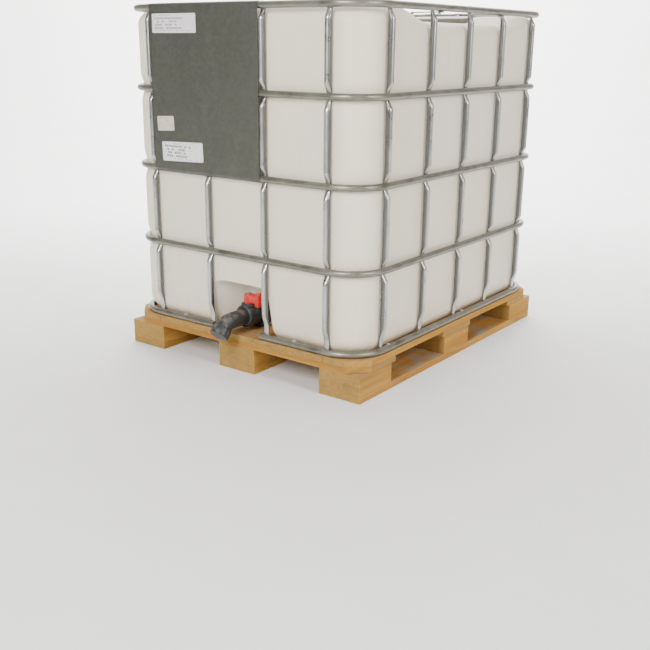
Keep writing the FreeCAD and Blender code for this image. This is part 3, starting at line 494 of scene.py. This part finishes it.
def spaced(start, stop, count):
    """Places between two ends, without the ends."""
    return [start + (stop - start) * i / count for i in range(1, count)]


def box_between(bm, low, high):
    """Add a plain block between two corners, and return its vertices."""
    made = bmesh.ops.create_cube(bm, size=1.0)["verts"]
    middle = (Vector(low) + Vector(high)) / 2
    bmesh.ops.scale(bm, vec=Vector(high) - Vector(low), verts=made)
    bmesh.ops.translate(bm, vec=middle, verts=made)
    return made


def bevelled(bm, edges, width, segments):
    bmesh.ops.bevel(bm, geom=edges, offset=width, offset_type="OFFSET", affect="EDGES",
                    segments=segments, profile=0.5, material=-1, clamp_overlap=True)


def block_piece(bm, low, high, width, segments):
    """A block with all its edges rounded."""
    verts = box_between(bm, low, high)
    edges = list({edge for vert in verts for edge in vert.link_edges})
    bevelled(bm, edges, width, segments)


def spun(bm, outline, centre, axis):
    """Spin an outline of (radius, height) points about an axis through centre, closed all round."""
    turn = Vector((0.0, 0.0, 1.0)).rotation_difference(axis).to_matrix()
    verts = [bm.verts.new(centre + turn @ Vector((radius, 0.0, height))) for radius, height in outline]
    edges = [bm.edges.new(pair) for pair in zip(verts, verts[1:])]
    bmesh.ops.spin(bm, geom=verts + edges, cent=centre, axis=axis, angle=2 * math.pi,
                   steps=sizes().spin_steps, use_merge=True, use_duplicate=False)


def smooth_step(value):
    value = min(max(value, 0.0), 1.0)
    return value * value * (3 - 2 * value)


# ------------------------------------------------------------------- properties

class IbcSizes(PropertyGroup):
    """Sizes that shape the pieces made here."""

    panel_bulge: FloatProperty(name="Panel bulge", description="How far a panel swells between tubes",
                               default=0.0025, unit="LENGTH")
    corner_bulge: FloatProperty(name="Corner bulge", description="How far a corner swells between rails",
                                default=0.0105, unit="LENGTH")
    wall_waviness: FloatProperty(name="Wall waviness", description="Unevenness of the blown wall",
                                 default=0.0012, unit="LENGTH")
    tube_radius: FloatProperty(name="Tube radius", description="Radius of the cage's tubes",
                               default=0.0105, unit="LENGTH")
    weld_radius: FloatProperty(name="Weld radius", description="Half the width of a weld nugget",
                               default=0.0034, unit="LENGTH")
    floor_size: FloatProperty(name="Floor size", description="Width of the pale floor",
                              default=30.0, unit="LENGTH")
    spin_steps: IntProperty(name="Round steps", description="Flats round a turned piece", default=64)


class IbcColours(PropertyGroup):
    """Colours of the finishes."""

    bottle_colour: FloatVectorProperty(name="Bottle", description="Milky plastic", subtype="COLOR",
                                       default=(0.742, 0.690, 0.585))
    bottle_warm: FloatVectorProperty(name="Bottle, warm", description="Warmer patches of the plastic",
                                     subtype="COLOR", default=(0.750, 0.676, 0.543))
    # The rails' darker tone than the uprights' is partly weathering and partly painted shade, standing in
    # for the rails' duller reflections.
    rail_colour: FloatVectorProperty(name="Rails", description="Weathered zinc of the rails",
                                     subtype="COLOR", default=(0.20, 0.19, 0.155))
    upright_colour: FloatVectorProperty(name="Uprights", description="Brighter zinc of the uprights",
                                        subtype="COLOR", default=(0.43, 0.44, 0.43))
    plate_colour: FloatVectorProperty(name="Label plate", description="Dark zinc sheet",
                                      subtype="COLOR", default=(0.108, 0.111, 0.092))
    wood_light: FloatVectorProperty(name="Wood, light", description="Early wood of the boards",
                                    subtype="COLOR", default=(0.50, 0.285, 0.070))
    wood_dark: FloatVectorProperty(name="Wood, dark", description="Late wood of the boards",
                                   subtype="COLOR", default=(0.36, 0.180, 0.036))
    lever_colour: FloatVectorProperty(name="Lever", description="Red of the valve's lever",
                                      subtype="COLOR", default=(0.62, 0.028, 0.022))
    black_colour: FloatVectorProperty(name="Black plastic", description="Valve, nut and lid",
                                      subtype="COLOR", default=(0.022, 0.023, 0.025))
    floor_colour: FloatVectorProperty(name="Floor", description="Pale floor", subtype="COLOR",
                                      default=(0.86, 0.86, 0.85))


def sizes():
    return bpy.context.scene.ibc_sizes


def colours():
    return bpy.context.scene.ibc_colours


# ---------------------------------------------------------------- painted nodes

def paint(name, material):
    """Give a carried-over node its finish."""
    slots = NODES[name].data.materials
    slots.clear()
    slots.append(material)


def finish_pallet():
    light = tuple(colours().wood_light)
    dark = tuple(colours().wood_dark)
    middle = tuple((a + b) / 2 for a, b in zip(light, dark))
    tones = (light, middle, dark)
    end_tone = ((0.38, 0.245, 0.075), (0.27, 0.160, 0.045))
    deck_low, deck_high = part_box("deck_boards")
    pitch = (deck_high.x - deck_low.x) / DECK_BOARDS
    deck = wood("deck_wood", 1, (pitch, 9.0, 9.0), tones, end_tone, 0.35, 1.0)
    runner = wood("bottom_board_wood", 1, (0.4, 9.0, 9.0), tones, end_tone, 0.75, 3.0)
    cross = wood("stringer_wood", 0, (9.0, 0.45, 9.0), tones, end_tone, 0.5, 5.0)
    block = wood("block_wood", 1, (0.35, 0.45, 9.0), tones, end_tone, 0.5, 8.0)
    paint("deck_boards", deck)
    for side in ("left", "middle", "right"):
        paint("bottom_board_" + side, runner)
    for row in ("front", "middle", "rear"):
        paint("stringer_" + row, cross)
        paint("blocks_" + row, block)
    paint("pallet_nails", zinc("nail_steel", (0.30, 0.29, 0.27), 0.48))


def finish_cage():
    rails = galvanised("rail_zinc", tuple(colours().rail_colour), 0.30, 0.86, 0.0)
    # The uprights' last number is the strength of the painted shade on their flanks.
    uprights = galvanised("upright_zinc", tuple(colours().upright_colour), 0.20, 0.97, 5.0, 0.8)
    for name in RAILS + ("rail_sleeves", "top_bar_front", "top_bar_rear"):
        paint(name, rails)
    for name in UPRIGHTS:
        paint(name, uprights)
    screw = zinc("screw_zinc", (0.42, 0.42, 0.40), 0.60)
    for name in ("hold_down_screws", "top_bar_screws", "lever_screw"):
        paint(name, screw)
    paint("label_plate", galvanised_sheet("plate_zinc", tuple(colours().plate_colour)))


def black_plastic(name, rough):
    tone = tuple(colours().black_colour)
    return moulded_plastic(name, tone, rough, 0.12, (0.060, 0.057, 0.053))


def finish_valve():
    black = black_plastic("valve_black", 0.38)
    for name in ("valve_body", "valve_nut", "outlet_cap"):
        paint(name, black)
    lid_black = black_plastic("lid_black", 0.42)
    paint("lid", lid_black)
    paint("lid_vent", lid_black)
    red = moulded_plastic("lever_red", tuple(colours().lever_colour), 0.36, 0.35, (0.72, 0.20, 0.16))
    paint("valve_lever", red)
    seal = rubber("seal_rubber", (0.02, 0.02, 0.021))
    for name in ("lid_seal", "valve_gasket", "stem_seal", "outlet_cap_seal"):
        paint(name, seal)
    paint("ball_seats", rubber("seat_white", (0.72, 0.72, 0.70)))
    ball = moulded_plastic("ball_plastic", (0.60, 0.60, 0.57), 0.3, 0.2, (0.5, 0.48, 0.44))
    paint("valve_ball", ball)
    paint("valve_stem", ball)


# ---------------------------------------------------------------------- bottle

def rounded_corner(point, half, radius):
    """A point of a rectangle moved to the same rectangle with round corners."""
    offset = Vector((abs(point.x) - half.x + radius, abs(point.y) - half.y + radius))
    if offset.x <= 0 or offset.y <= 0:
        return point
    offset *= max(offset) / offset.length
    x = math.copysign(half.x - radius + offset.x, point.x)
    y = math.copysign(half.y - radius + offset.y, point.y)
    return Vector((x, y, point.z))


def inward(point, half, radius):
    """How far a point lies inside the rounded outline, and the outward direction there."""
    offset = Vector((abs(point.x) - half.x + radius, abs(point.y) - half.y + radius))
    if offset.x > 0 and offset.y > 0:
        gap = radius - offset.length
        way = offset.normalized()
    elif offset.x > offset.y:
        gap = radius - offset.x
        way = Vector((1.0, 0.0))
    else:
        gap = radius - offset.y
        way = Vector((0.0, 1.0))
    return gap, Vector((math.copysign(way.x, point.x), math.copysign(way.y, point.y), 0.0))


def rounded_rim(point, gap, way, depth, radius, sign):
    """Round the edge between a side and the top (sign 1) or the underside (sign -1)."""
    if gap >= radius or depth >= radius:
        return point
    rest = Vector((radius - gap, radius - depth))
    rest *= max(rest) / rest.length
    moved_in = radius - rest.x - gap
    moved_down = radius - rest.y - depth
    return point - way * moved_in - UP * (sign * moved_down)


def swell(place, lines, shore=0.5):
    """1 between two tubes, 0 at a tube; shore is the share of the span that the rise takes."""
    for low, high in zip(lines, lines[1:]):
        if low <= place <= high:
            share = (place - low) / (high - low)
            return smooth_step(min(share, 1 - share) / shore)
    return 0.0


def middles(names, axis):
    """Where the middles of some nodes lie along an axis, in order."""
    return sorted((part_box(name)[0][axis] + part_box(name)[1][axis]) / 2 for name in names)


class BottleForm:
    """The moulded outside of the bottle, as a way to move the points of a block."""

    corner = 0.112
    shoulder = 0.045
    foot = 0.045
    top = 1.149
    front_step = 38.0 * MM
    front_slope_y = -0.368
    front_slope_run = 0.166
    rear_step = 36.0 * MM
    rear_slope_y = 0.269
    rear_slope_run = 0.197
    neck_foot = 1.111
    neck_radius = 0.084
    pocket_back = -0.455
    pocket_deep_from = -0.410
    pocket_rim = 0.148
    pocket_lean = 0.19
    pocket_core = 0.055
    pocket_top = 0.294
    pocket_brow = 0.030
    outlet_height = 0.177
    outlet_radius = 0.037

    def __init__(self):
        self.low, self.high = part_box("bottle")
        self.half = Vector((self.high.x, self.high.y))
        self.floor = self.low.z
        self.levels = middles(RAILS, 2)
        self.front_lines = [-self.half.x] + middles(FRONT_UPRIGHTS, 0) + [self.half.x]
        self.side_lines = [-self.half.y] + middles(RIGHT_UPRIGHTS, 1) + [self.half.y]

    def lattice(self):
        """Where the block is cut along X, Y and Z: finest round the neck, the outlet and the edges."""
        half = self.half
        x = spaced(-half.x, -0.35, 11) + [-0.35] + spaced(-0.35, -0.15, 9) + [-0.15]
        x += spaced(-0.15, 0.15, 84)
        y = spaced(-half.y, -0.45, 11) + [-0.45] + spaced(-0.45, -0.1, 24) + [-0.1]
        y += spaced(-0.1, 0.1, 18) + [0.1]
        y += spaced(0.1, 0.45, 20) + [0.45] + spaced(0.45, half.y, 11)
        z = spaced(self.floor, 0.17, 7) + [0.17] + spaced(0.17, 0.30, 20) + [0.30]
        z += spaced(0.30, 1.095, 48) + [1.095] + spaced(1.095, self.top, 9)
        return x + [-place for place in x if place < -0.149], y, z

    def moulded(self, point):
        """Where a point of the block lies on the finished bottle."""
        point = rounded_corner(point, self.half, self.corner)
        gap, way = inward(point, self.half, self.corner)
        rise = self.top - point.z
        drop = self.step_drop(point.y) * smooth_step((point.z - 0.98) / 0.12)
        point = rounded_rim(point, gap, way, rise, self.shoulder, 1)
        point = rounded_rim(point, gap, way, point.z - self.floor, self.foot, -1)
        point.z -= drop
        if gap < 1e-4:
            point += way * self.panel(point, way)
        point += way * self.wave(point, gap)
        return self.pocketed(point)

    def step_drop(self, y):
        """How far the top lies below its front: down a slope, level under the lid, and up again."""
        front = self.front_step * smooth_step((y - self.front_slope_y) / self.front_slope_run)
        rear = self.rear_step * smooth_step((y - self.rear_slope_y) / self.rear_slope_run)
        return front - rear

    def panel(self, point, way):
        """How far a wall stands out between the tubes, on its flats and at its corners."""
        on_side = abs(way.x) > abs(way.y)
        lines = self.side_lines if on_side else self.front_lines
        place = point.y if on_side else point.x
        flat = sizes().panel_bulge * (swell(place, lines) * swell(point.z, self.levels) - 0.55)
        turned = 2.0 * abs(way.x * way.y)
        return flat * (1.0 - turned) + sizes().corner_bulge * turned * swell(point.z, self.levels, 0.20)

    def wave(self, point, gap):
        """The unevenness of the walls and of the edges beside them."""
        size = sizes().wall_waviness * smooth_step((point.z - self.floor) / 0.1)
        return size * noise.noise(point * 6.0) * (1.0 if gap < 0.05 else 0.0)

    def pocketed(self, point):
        """Push the front in round the outlet; the underside closes up behind it."""
        if point.y > self.pocket_deep_from:
            return point
        rim = self.pocket_rim - self.pocket_lean * (point.z - self.floor)
        side = (rim - abs(point.x)) / (rim - self.pocket_core)
        above = (self.pocket_top - point.z) / self.pocket_brow
        side, above = (min(max(share, 0.0), 1.0) for share in (side, above))
        inside = max(1.0 - math.hypot(1.0 - side, 1.0 - above), 0.0)
        inside = (inside + smooth_step(inside)) / 2
        full = -self.half.y - self.pocket_deep_from
        share = (point.y - self.pocket_deep_from) / full
        depth = self.pocket_back + self.half.y
        return point + Vector((0.0, depth * inside * share, 0.0))


def opened(bm, centre, axis, radius, rings):
    """Cut a round hole in a skin and run a neck out of it, ring by ring, closed inside."""
    centre = Vector(centre)
    across = [i for i in range(3) if abs(axis[i]) < 0.5]
    skin_depth = 0.03

    def reach(point):
        return math.hypot(point[across[0]] - centre[across[0]], point[across[1]] - centre[across[1]])

    def doomed(face):
        middle = face.calc_center_median()
        near = abs((middle - centre).dot(axis)) < skin_depth
        return near and face.normal.dot(axis) > 0.5 and reach(middle) < radius

    def rounded(edges, new_radius):
        """Move the ends of a ring's edges to one radius, and return them."""
        verts = {vert for edge in edges for vert in edge.verts}
        for vert in verts:
            scale = new_radius / reach(vert.co)
            for i in across:
                vert.co[i] = centre[i] + (vert.co[i] - centre[i]) * scale
        return verts

    bmesh.ops.delete(bm, geom=[face for face in bm.faces if doomed(face)], context="FACES")
    rim = [edge for edge in bm.edges if edge.is_boundary]
    rounded(rim, radius)
    for new_radius, new_height in rings:
        made = bmesh.ops.extrude_edge_only(bm, edges=rim)["geom"]
        rim = [item for item in made if isinstance(item, bmesh.types.BMEdge) and item.is_boundary]
        for vert in rounded(rim, new_radius):
            vert.co += axis * (new_height - (vert.co - centre).dot(axis))
    bmesh.ops.holes_fill(bm, edges=rim, sides=0)


def neck_rings():
    """(radius, height) of the filling neck: a fillet, two turns of thread, a lip and the bore."""
    root = 0.0780
    crest = 0.0800
    bore = 0.0750
    height = 0.026
    rings = [(0.0815, 0.0015), (crest, 0.004)]
    for level in (0.009, 0.016):
        rings += [(root, level - 0.002), (crest, level), (crest, level + 0.0015), (root, level + 0.0035)]
    rings += [(0.0775, height - 0.001), (0.0770, height), (0.0755, height), (bore, height - 0.001)]
    return rings + [(bore, -0.04)]


def outlet_rings():
    """(radius, height) of the outlet's neck and its bore."""
    return [(0.034, 0.003), (0.034, 0.029), (0.025, 0.029), (0.025, -0.02)]


def build_bottle():
    form = BottleForm()
    bm = bmesh.new()
    box_between(bm, (-form.half.x, -form.half.y, form.floor), (form.half.x, form.half.y, form.top))
    for axis, places in enumerate(form.lattice()):
        for place in places:
            cut(bm, axis, place)
    for vert in bm.verts:
        vert.co = form.moulded(vert.co.copy())
    bm.normal_update()
    opened(bm, (0.0, 0.0, form.neck_foot), UP, form.neck_radius, neck_rings())
    outlet = (0.0, form.pocket_back, form.outlet_height)
    opened(bm, outlet, FRONT, form.outlet_radius, outlet_rings())
    bmesh.ops.recalc_face_normals(bm, faces=bm.faces)
    put(bm, "bottle_skin", BODY, bottle_plastic(colours()), ("bottle",), 50.0)


# -------------------------------------------------------------------- cage trim

def weld_places(level):
    """Every crossing of an upright with the rail at a level, and the direction into the cage there."""
    rail_low, rail_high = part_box("rail_second")
    places = []
    for names, axis, way in (
        (FRONT_UPRIGHTS, 0, Vector((0, 1, 0))),
        (REAR_UPRIGHTS, 0, Vector((0, -1, 0))),
        (LEFT_UPRIGHTS, 1, Vector((1, 0, 0))),
        (RIGHT_UPRIGHTS, 1, Vector((-1, 0, 0))),
    ):
        edge = rail_low if way[1 - axis] > 0 else rail_high
        for place in middles(names, axis):
            point = Vector((0.0, 0.0, level))
            point[axis] = place
            point[1 - axis] = edge[1 - axis] + way[1 - axis] * sizes().tube_radius
            places.append((point, way))
    return places


def build_welds(material):
    """Small flattened nuggets above and below each rail where the uprights are welded on."""
    way_in = 4.2 * MM
    way_up = 9.8 * MM
    size = sizes().weld_radius
    random.seed(11)
    for rail, level in zip(RAILS, middles(RAILS, 2)):
        sides = (1,) if rail == "rail_bottom" else (1, -1)
        bm = bmesh.new()
        for point, way in weld_places(level):
            turn = Matrix((UP.cross(way), way, UP)).transposed().to_4x4()
            for side in sides:
                spot = point + way * way_in + UP * (side * way_up)
                spread = random.uniform(0.9, 1.25)
                made = bmesh.ops.create_icosphere(bm, subdivisions=1, radius=1.0)["verts"]
                stretch = Matrix.Diagonal((size * 1.9 * spread, size * 0.62, size * 0.8, 1.0))
                bmesh.ops.transform(bm, matrix=Matrix.Translation(spot) @ turn @ stretch, verts=made)
        put(bm, rail + "_welds", BODY, material, (), 180.0)


# ------------------------------------------------------------------------- valve

class LeverForm:
    """Sizes of the red grip; its arm runs along +X while the valve is closed."""

    hub_radius = 0.0158
    stem_radius = 0.0085
    screw_radius = 0.0032
    screw_stands = 3.6 * MM
    hub_rim = ((0.0, 4.2 * MM), (0.8 * MM, 1.8 * MM), (2.4 * MM, 0.4 * MM), (4.6 * MM, 0.0))
    hub_floor = 0.4 * MM
    ribs_round = 16
    ribs_free_of_arm = range(3, 14)
    rib_foot = 1.3 * MM
    rib_tip = 0.9 * MM
    rib_short = 9.0 * MM
    half_width = 0.0128
    arm_start = 0.006
    arm_lift = 2.0 * MM
    arm_edge = 4.2 * MM
    end_gap = 1.2 * MM
    grip_start = 0.0325
    grip_drop = 7.8 * MM
    grip_edge = 5.6 * MM
    finger_ribs = 4
    finger_start = 0.0375
    finger_pitch = 8.5 * MM
    finger_height = 3.0 * MM
    finger_edge = 1.2 * MM


def build_lever(material):
    """The red grip: a ribbed hub over the stem, and a deep arm with finger ribs at its end."""
    form = LeverForm
    low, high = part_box("valve_lever")
    centre = Vector((0.0, (low.y + high.y) / 2, low.z))
    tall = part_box("lever_screw")[1].z - form.screw_stands - low.z
    end = high.x - form.end_gap
    bm = bmesh.new()

    def arm_block(start, stop, wider, bottom, top, edge, segments):
        across = form.half_width + wider
        block_piece(bm, (start, centre.y - across, bottom), (stop, centre.y + across, top), edge, segments)

    rim = [(form.hub_radius - inward_by, tall - below) for inward_by, below in form.hub_rim]
    ceiling = tall - form.hub_floor
    spun(bm, [
        (form.stem_radius, 0.0), (form.hub_radius - 0.6 * MM, 0.0), (form.hub_radius, 0.6 * MM), *rim,
        (form.screw_radius, tall), (form.screw_radius, ceiling), (form.stem_radius, ceiling),
        (form.stem_radius, 0.0),
    ], centre, UP)
    for step in form.ribs_free_of_arm:
        angle = 2 * math.pi * step / form.ribs_round
        spot = centre + Vector((math.cos(angle), math.sin(angle), 0.0)) * form.hub_radius
        made = bmesh.ops.create_cone(bm, cap_ends=True, segments=8, radius1=form.rib_foot,
                                     radius2=form.rib_tip, depth=tall - form.rib_short)["verts"]
        bmesh.ops.translate(bm, vec=spot + UP * (tall / 2 - 0.5 * MM), verts=made)
    arm_floor = low.z + form.arm_lift
    arm_block(form.arm_start, end - 6.0 * MM, 0.0, arm_floor, low.z + tall, form.arm_edge, 4)
    arm_block(form.grip_start, end, 0.8 * MM, low.z - form.grip_drop, high.z, form.grip_edge, 5)
    for step in range(form.finger_ribs):
        level = arm_floor + step * form.finger_pitch
        arm_block(form.finger_start, end + 1.0 * MM, 1.8 * MM, level, level + form.finger_height,
                  form.finger_edge, 2)
    closed(bm)
    put(bm, "lever_grip", "valve_handle", material, ("valve_lever",), 42.0)


class ValveForm:
    """Where the raised bands of the valve's body lie."""

    housing_radius = 0.037
    housing_bands = (    # place along the pipe, width and rise
        (-21.5 * MM, 5.0 * MM, 1.2 * MM),
        (0.0, 3.4 * MM, 0.8 * MM),
        (21.5 * MM, 5.0 * MM, 1.2 * MM),
    )
    bonnet_radius = 0.024
    collar_z = 0.2115
    # rise and height of the collar's points
    collar = ((2.2 * MM, 0.0), (2.8 * MM, 1.2 * MM), (2.8 * MM, 3.0 * MM), (1.8 * MM, 4.2 * MM))
    sunk = 2.0 * MM


def build_valve_trim(material):
    """Raised bands round the valve's housing, the seam of the mould, and the collar of its bonnet."""
    form = ValveForm
    low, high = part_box("valve_ball")
    centre = (low + high) / 2
    inner = form.housing_radius - form.sunk
    bm = bmesh.new()
    for offset, width, rise in form.housing_bands:
        edge = width / 2
        shoulder = form.housing_radius + rise * 0.4
        crest = form.housing_radius + rise
        spun(bm, [
            (inner, -edge), (shoulder, -edge), (crest, -edge * 0.6),
            (crest, edge * 0.6), (shoulder, edge), (inner, edge), (inner, -edge),
        ], centre + FRONT * offset, FRONT)
    inner = form.bonnet_radius - form.sunk
    collar = [(form.bonnet_radius + rise, height) for rise, height in form.collar]
    spun(bm, [(inner, 0.0), *collar, (inner, form.collar[-1][1]), (inner, 0.0)],
         Vector((centre.x, centre.y, form.collar_z)), UP)
    closed(bm)
    put(bm, "valve_bands", BODY, material, (), 35.0)


# ------------------------------------------------------------------------ labels

LABEL_THICKNESS = 0.35 * MM
LABEL_CORNER = 4.0 * MM
# name, middle (x, z), width, height, tilt in degrees, paper, ink, rows of print, share of bars
LABELS = (
    ("label_upper", (-0.234, 1.102), 0.192, 0.058, 0.0, (0.70, 0.68, 0.69), (0.26, 0.23, 0.31), 6.0, 0.80),
    ("label_small", (-0.287, 0.792), 0.076, 0.046, -3.0, (0.60, 0.52, 0.43), (0.40, 0.32, 0.24), 5.0, 0.45),
    ("label_lower", (-0.215, 0.705), 0.183, 0.062, -2.0, (0.74, 0.74, 0.75), (0.13, 0.13, 0.15), 6.0, 0.62),
)


def build_labels():
    """Paper labels with plain printed bars, one piece for each."""
    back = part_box("plate_labels")[1].y
    for name, (x, z), width, height, tilt, tone, ink, rows, share in LABELS:
        half = Vector((width / 2, 0, height / 2))
        bm = bmesh.new()
        box_between(bm, (-half.x, -LABEL_THICKNESS, -half.z), (half.x, 0.0, half.z))
        corners = [e for e in bm.edges if abs((e.verts[0].co - e.verts[1].co).y) > LABEL_THICKNESS / 2]
        bevelled(bm, corners, LABEL_CORNER, 4)
        for place in spaced(-half.x, half.x, 12):
            cut(bm, 0, place)
        for vert in bm.verts:
            lift = noise.noise(Vector((vert.co.x * 40, vert.co.z * 30, len(name))))
            vert.co.y -= 0.2 * MM * abs(lift)
        moved = Matrix.Translation((x, back, z)) @ Matrix.Rotation(math.radians(tilt), 4, "Y")
        bmesh.ops.transform(bm, matrix=moved, verts=bm.verts)
        middle = Vector((x, 0, z))
        box = (middle - half, middle + half)
        paper = printed_paper(name + "_paper", box, rows, float(len(name)) + rows, tone, ink, share)
        replaced = ("plate_labels",) if name == "label_upper" else ()
        put(bm, name, BODY, paper, replaced)


# ------------------------------------------------------------------------- stage

def area_light(name, place, aim, power, size, tone):
    data = bpy.data.lights.new(name, "AREA")
    data.shape = "RECTANGLE"
    data.size = size[0]
    data.size_y = size[1]
    data.energy = power
    data.color = tone
    light = bpy.data.objects.new(name, data)
    light.location = place
    light.rotation_euler = (Vector(aim) - Vector(place)).to_track_quat("-Z", "Y").to_euler()
    bpy.context.scene.collection.objects.link(light)


SWEEP_AWAY = Vector((-0.58, 0.814, 0.0))
SWEEP_ALONG = Vector((0.814, 0.58, 0.0))
SWEEP_START = 2.6
SWEEP_RADIUS = 2.5
FLOOR_LEVEL = -0.5 * MM


def swept_up(point):
    """Bend the far part of the floor up into a wall behind the container."""
    out = point.dot(SWEEP_AWAY)
    beyond = out - SWEEP_START
    level = FLOOR_LEVEL
    if beyond > 0:
        angle = min(beyond / SWEEP_RADIUS, math.pi / 2)
        out = SWEEP_START + SWEEP_RADIUS * math.sin(angle)
        level += SWEEP_RADIUS * (1 - math.cos(angle)) + max(0.0, beyond - SWEEP_RADIUS * math.pi / 2)
    return SWEEP_AWAY * out + SWEEP_ALONG * point.dot(SWEEP_ALONG) + UP * level


def build_world():
    """A faint even light from all round."""
    world = bpy.data.worlds.new("studio")
    bpy.context.scene.world = world
    world.use_nodes = True
    background = world.node_tree.nodes["Background"]
    background.inputs["Color"].default_value = (0.93, 0.95, 1.0, 1.0)
    background.inputs["Strength"].default_value = 0.30


def build_floor():
    """A pale floor that sweeps up into the wall behind."""
    bm = bmesh.new()
    bmesh.ops.create_grid(bm, x_segments=60, y_segments=60, size=sizes().floor_size / 2)
    for vert in bm.verts:
        vert.co = swept_up(vert.co)
    mesh = bpy.data.meshes.new("floor")
    bm.to_mesh(mesh)
    bm.free()
    floor = bpy.data.objects.new("floor", mesh)
    bpy.context.scene.collection.objects.link(floor)
    look = Look("pale_floor")
    fleck = look.clouds(look.place(), 5.0, 4.0, 0.5)
    tone = tuple(colours().floor_colour)
    mesh.materials.append(look.finish({
        "Base Color": look.ramp(fleck, [(0.3, tuple(c * 0.97 for c in tone)), (0.7, tone)]),
        "Roughness": 0.75,
    }))


def build_camera():
    scene = bpy.context.scene
    camera = bpy.data.cameras.new("camera")
    camera.lens = 49.78
    camera.sensor_width = 36.0
    holder = bpy.data.objects.new("camera", camera)
    holder.location = (1.923, -2.693, 1.042)
    turn = Matrix.Rotation(math.radians(36.62), 4, "Z") @ Matrix.Rotation(math.radians(90 - 17.33), 4, "X")
    holder.rotation_euler = (turn @ Matrix.Rotation(math.radians(0.51), 4, "Z")).to_euler()
    scene.collection.objects.link(holder)
    scene.camera = holder


def build_stage():
    build_world()
    build_floor()
    middle = (0.0, 0.0, 0.6)
    area_light("key", (0.9, -4.2, 2.7), middle, 250.0, (1.4, 2.2), (1.0, 0.98, 0.95))
    area_light("side", (4.4, -0.9, 2.5), middle, 170.0, (1.2, 2.4), (1.0, 0.97, 0.94))
    area_light("overhead", (-0.6, 0.6, 4.4), middle, 130.0, (4.0, 4.0), (1.0, 1.0, 1.0))
    area_light("backdrop", (-1.3, 1.9, 4.0), (-3.2, 4.4, 1.6), 1150.0, (6.0, 1.5), (1.0, 1.0, 1.0))
    build_camera()


# --------------------------------------------------------------------- operators

class IbcOperator:
    """What every operator of this file shares."""

    bl_options = {"REGISTER", "UNDO"}

    def execute(self, context):
        self.build()
        return {"FINISHED"}


class IBC_OT_stage(IbcOperator, Operator):
    """Make the floor, the lights and the camera"""

    bl_idname = "ibc.stage"
    bl_label = "Stage"

    def build(self):
        build_stage()


class IBC_OT_pallet(IbcOperator, Operator):
    """Give the pallet its wood and its nails"""

    bl_idname = "ibc.pallet"
    bl_label = "Pallet"

    def build(self):
        finish_pallet()


class IBC_OT_cage(IbcOperator, Operator):
    """Give the cage its zinc and weld it"""

    bl_idname = "ibc.cage"
    bl_label = "Cage"

    def build(self):
        finish_cage()
        build_welds(NODES["rail_top"].data.materials[0])


class IBC_OT_bottle(IbcOperator, Operator):
    """Make the blow-moulded bottle"""

    bl_idname = "ibc.bottle"
    bl_label = "Bottle"

    def build(self):
        build_bottle()


class IBC_OT_valve(IbcOperator, Operator):
    """Give the valve, the lid and their seals their finishes"""

    bl_idname = "ibc.valve"
    bl_label = "Valve and lid"

    def build(self):
        finish_valve()
        build_lever(NODES["valve_lever"].data.materials[0])
        build_valve_trim(NODES["valve_body"].data.materials[0])


class IBC_OT_labels(IbcOperator, Operator):
    """Stick the paper labels on the plate"""

    bl_idname = "ibc.labels"
    bl_label = "Labels"

    def build(self):
        build_labels()


OPERATORS = (IBC_OT_stage, IBC_OT_pallet, IBC_OT_cage, IBC_OT_bottle, IBC_OT_valve, IBC_OT_labels)


class IBC_PT_panel(Panel):
    """The sidebar page with the pieces, sizes and colours"""

    bl_idname = "IBC_PT_panel"
    bl_label = "Bulk container"
    bl_space_type = "VIEW_3D"
    bl_region_type = "UI"
    bl_category = "Container"

    def draw(self, context):
        for operator in OPERATORS:
            self.layout.operator(operator.bl_idname)
        for group in (context.scene.ibc_sizes, context.scene.ibc_colours):
            column = self.layout.column(align=True)
            for name in group.__annotations__:
                column.prop(group, name)


CLASSES = (IbcSizes, IbcColours) + OPERATORS + (IBC_PT_panel,)


def register():
    for item in CLASSES:
        bpy.utils.register_class(item)
    bpy.types.Scene.ibc_sizes = PointerProperty(type=IbcSizes)
    bpy.types.Scene.ibc_colours = PointerProperty(type=IbcColours)


def unregister():
    del bpy.types.Scene.ibc_colours
    del bpy.types.Scene.ibc_sizes
    for item in reversed(CLASSES):
        bpy.utils.unregister_class(item)


def main():
    register()
    bpy.ops.ibc.stage()
    bpy.ops.ibc.pallet()
    bpy.ops.ibc.cage()
    bpy.ops.ibc.bottle()
    bpy.ops.ibc.valve()
    bpy.ops.ibc.labels()


if __name__ == "__main__":
    main()
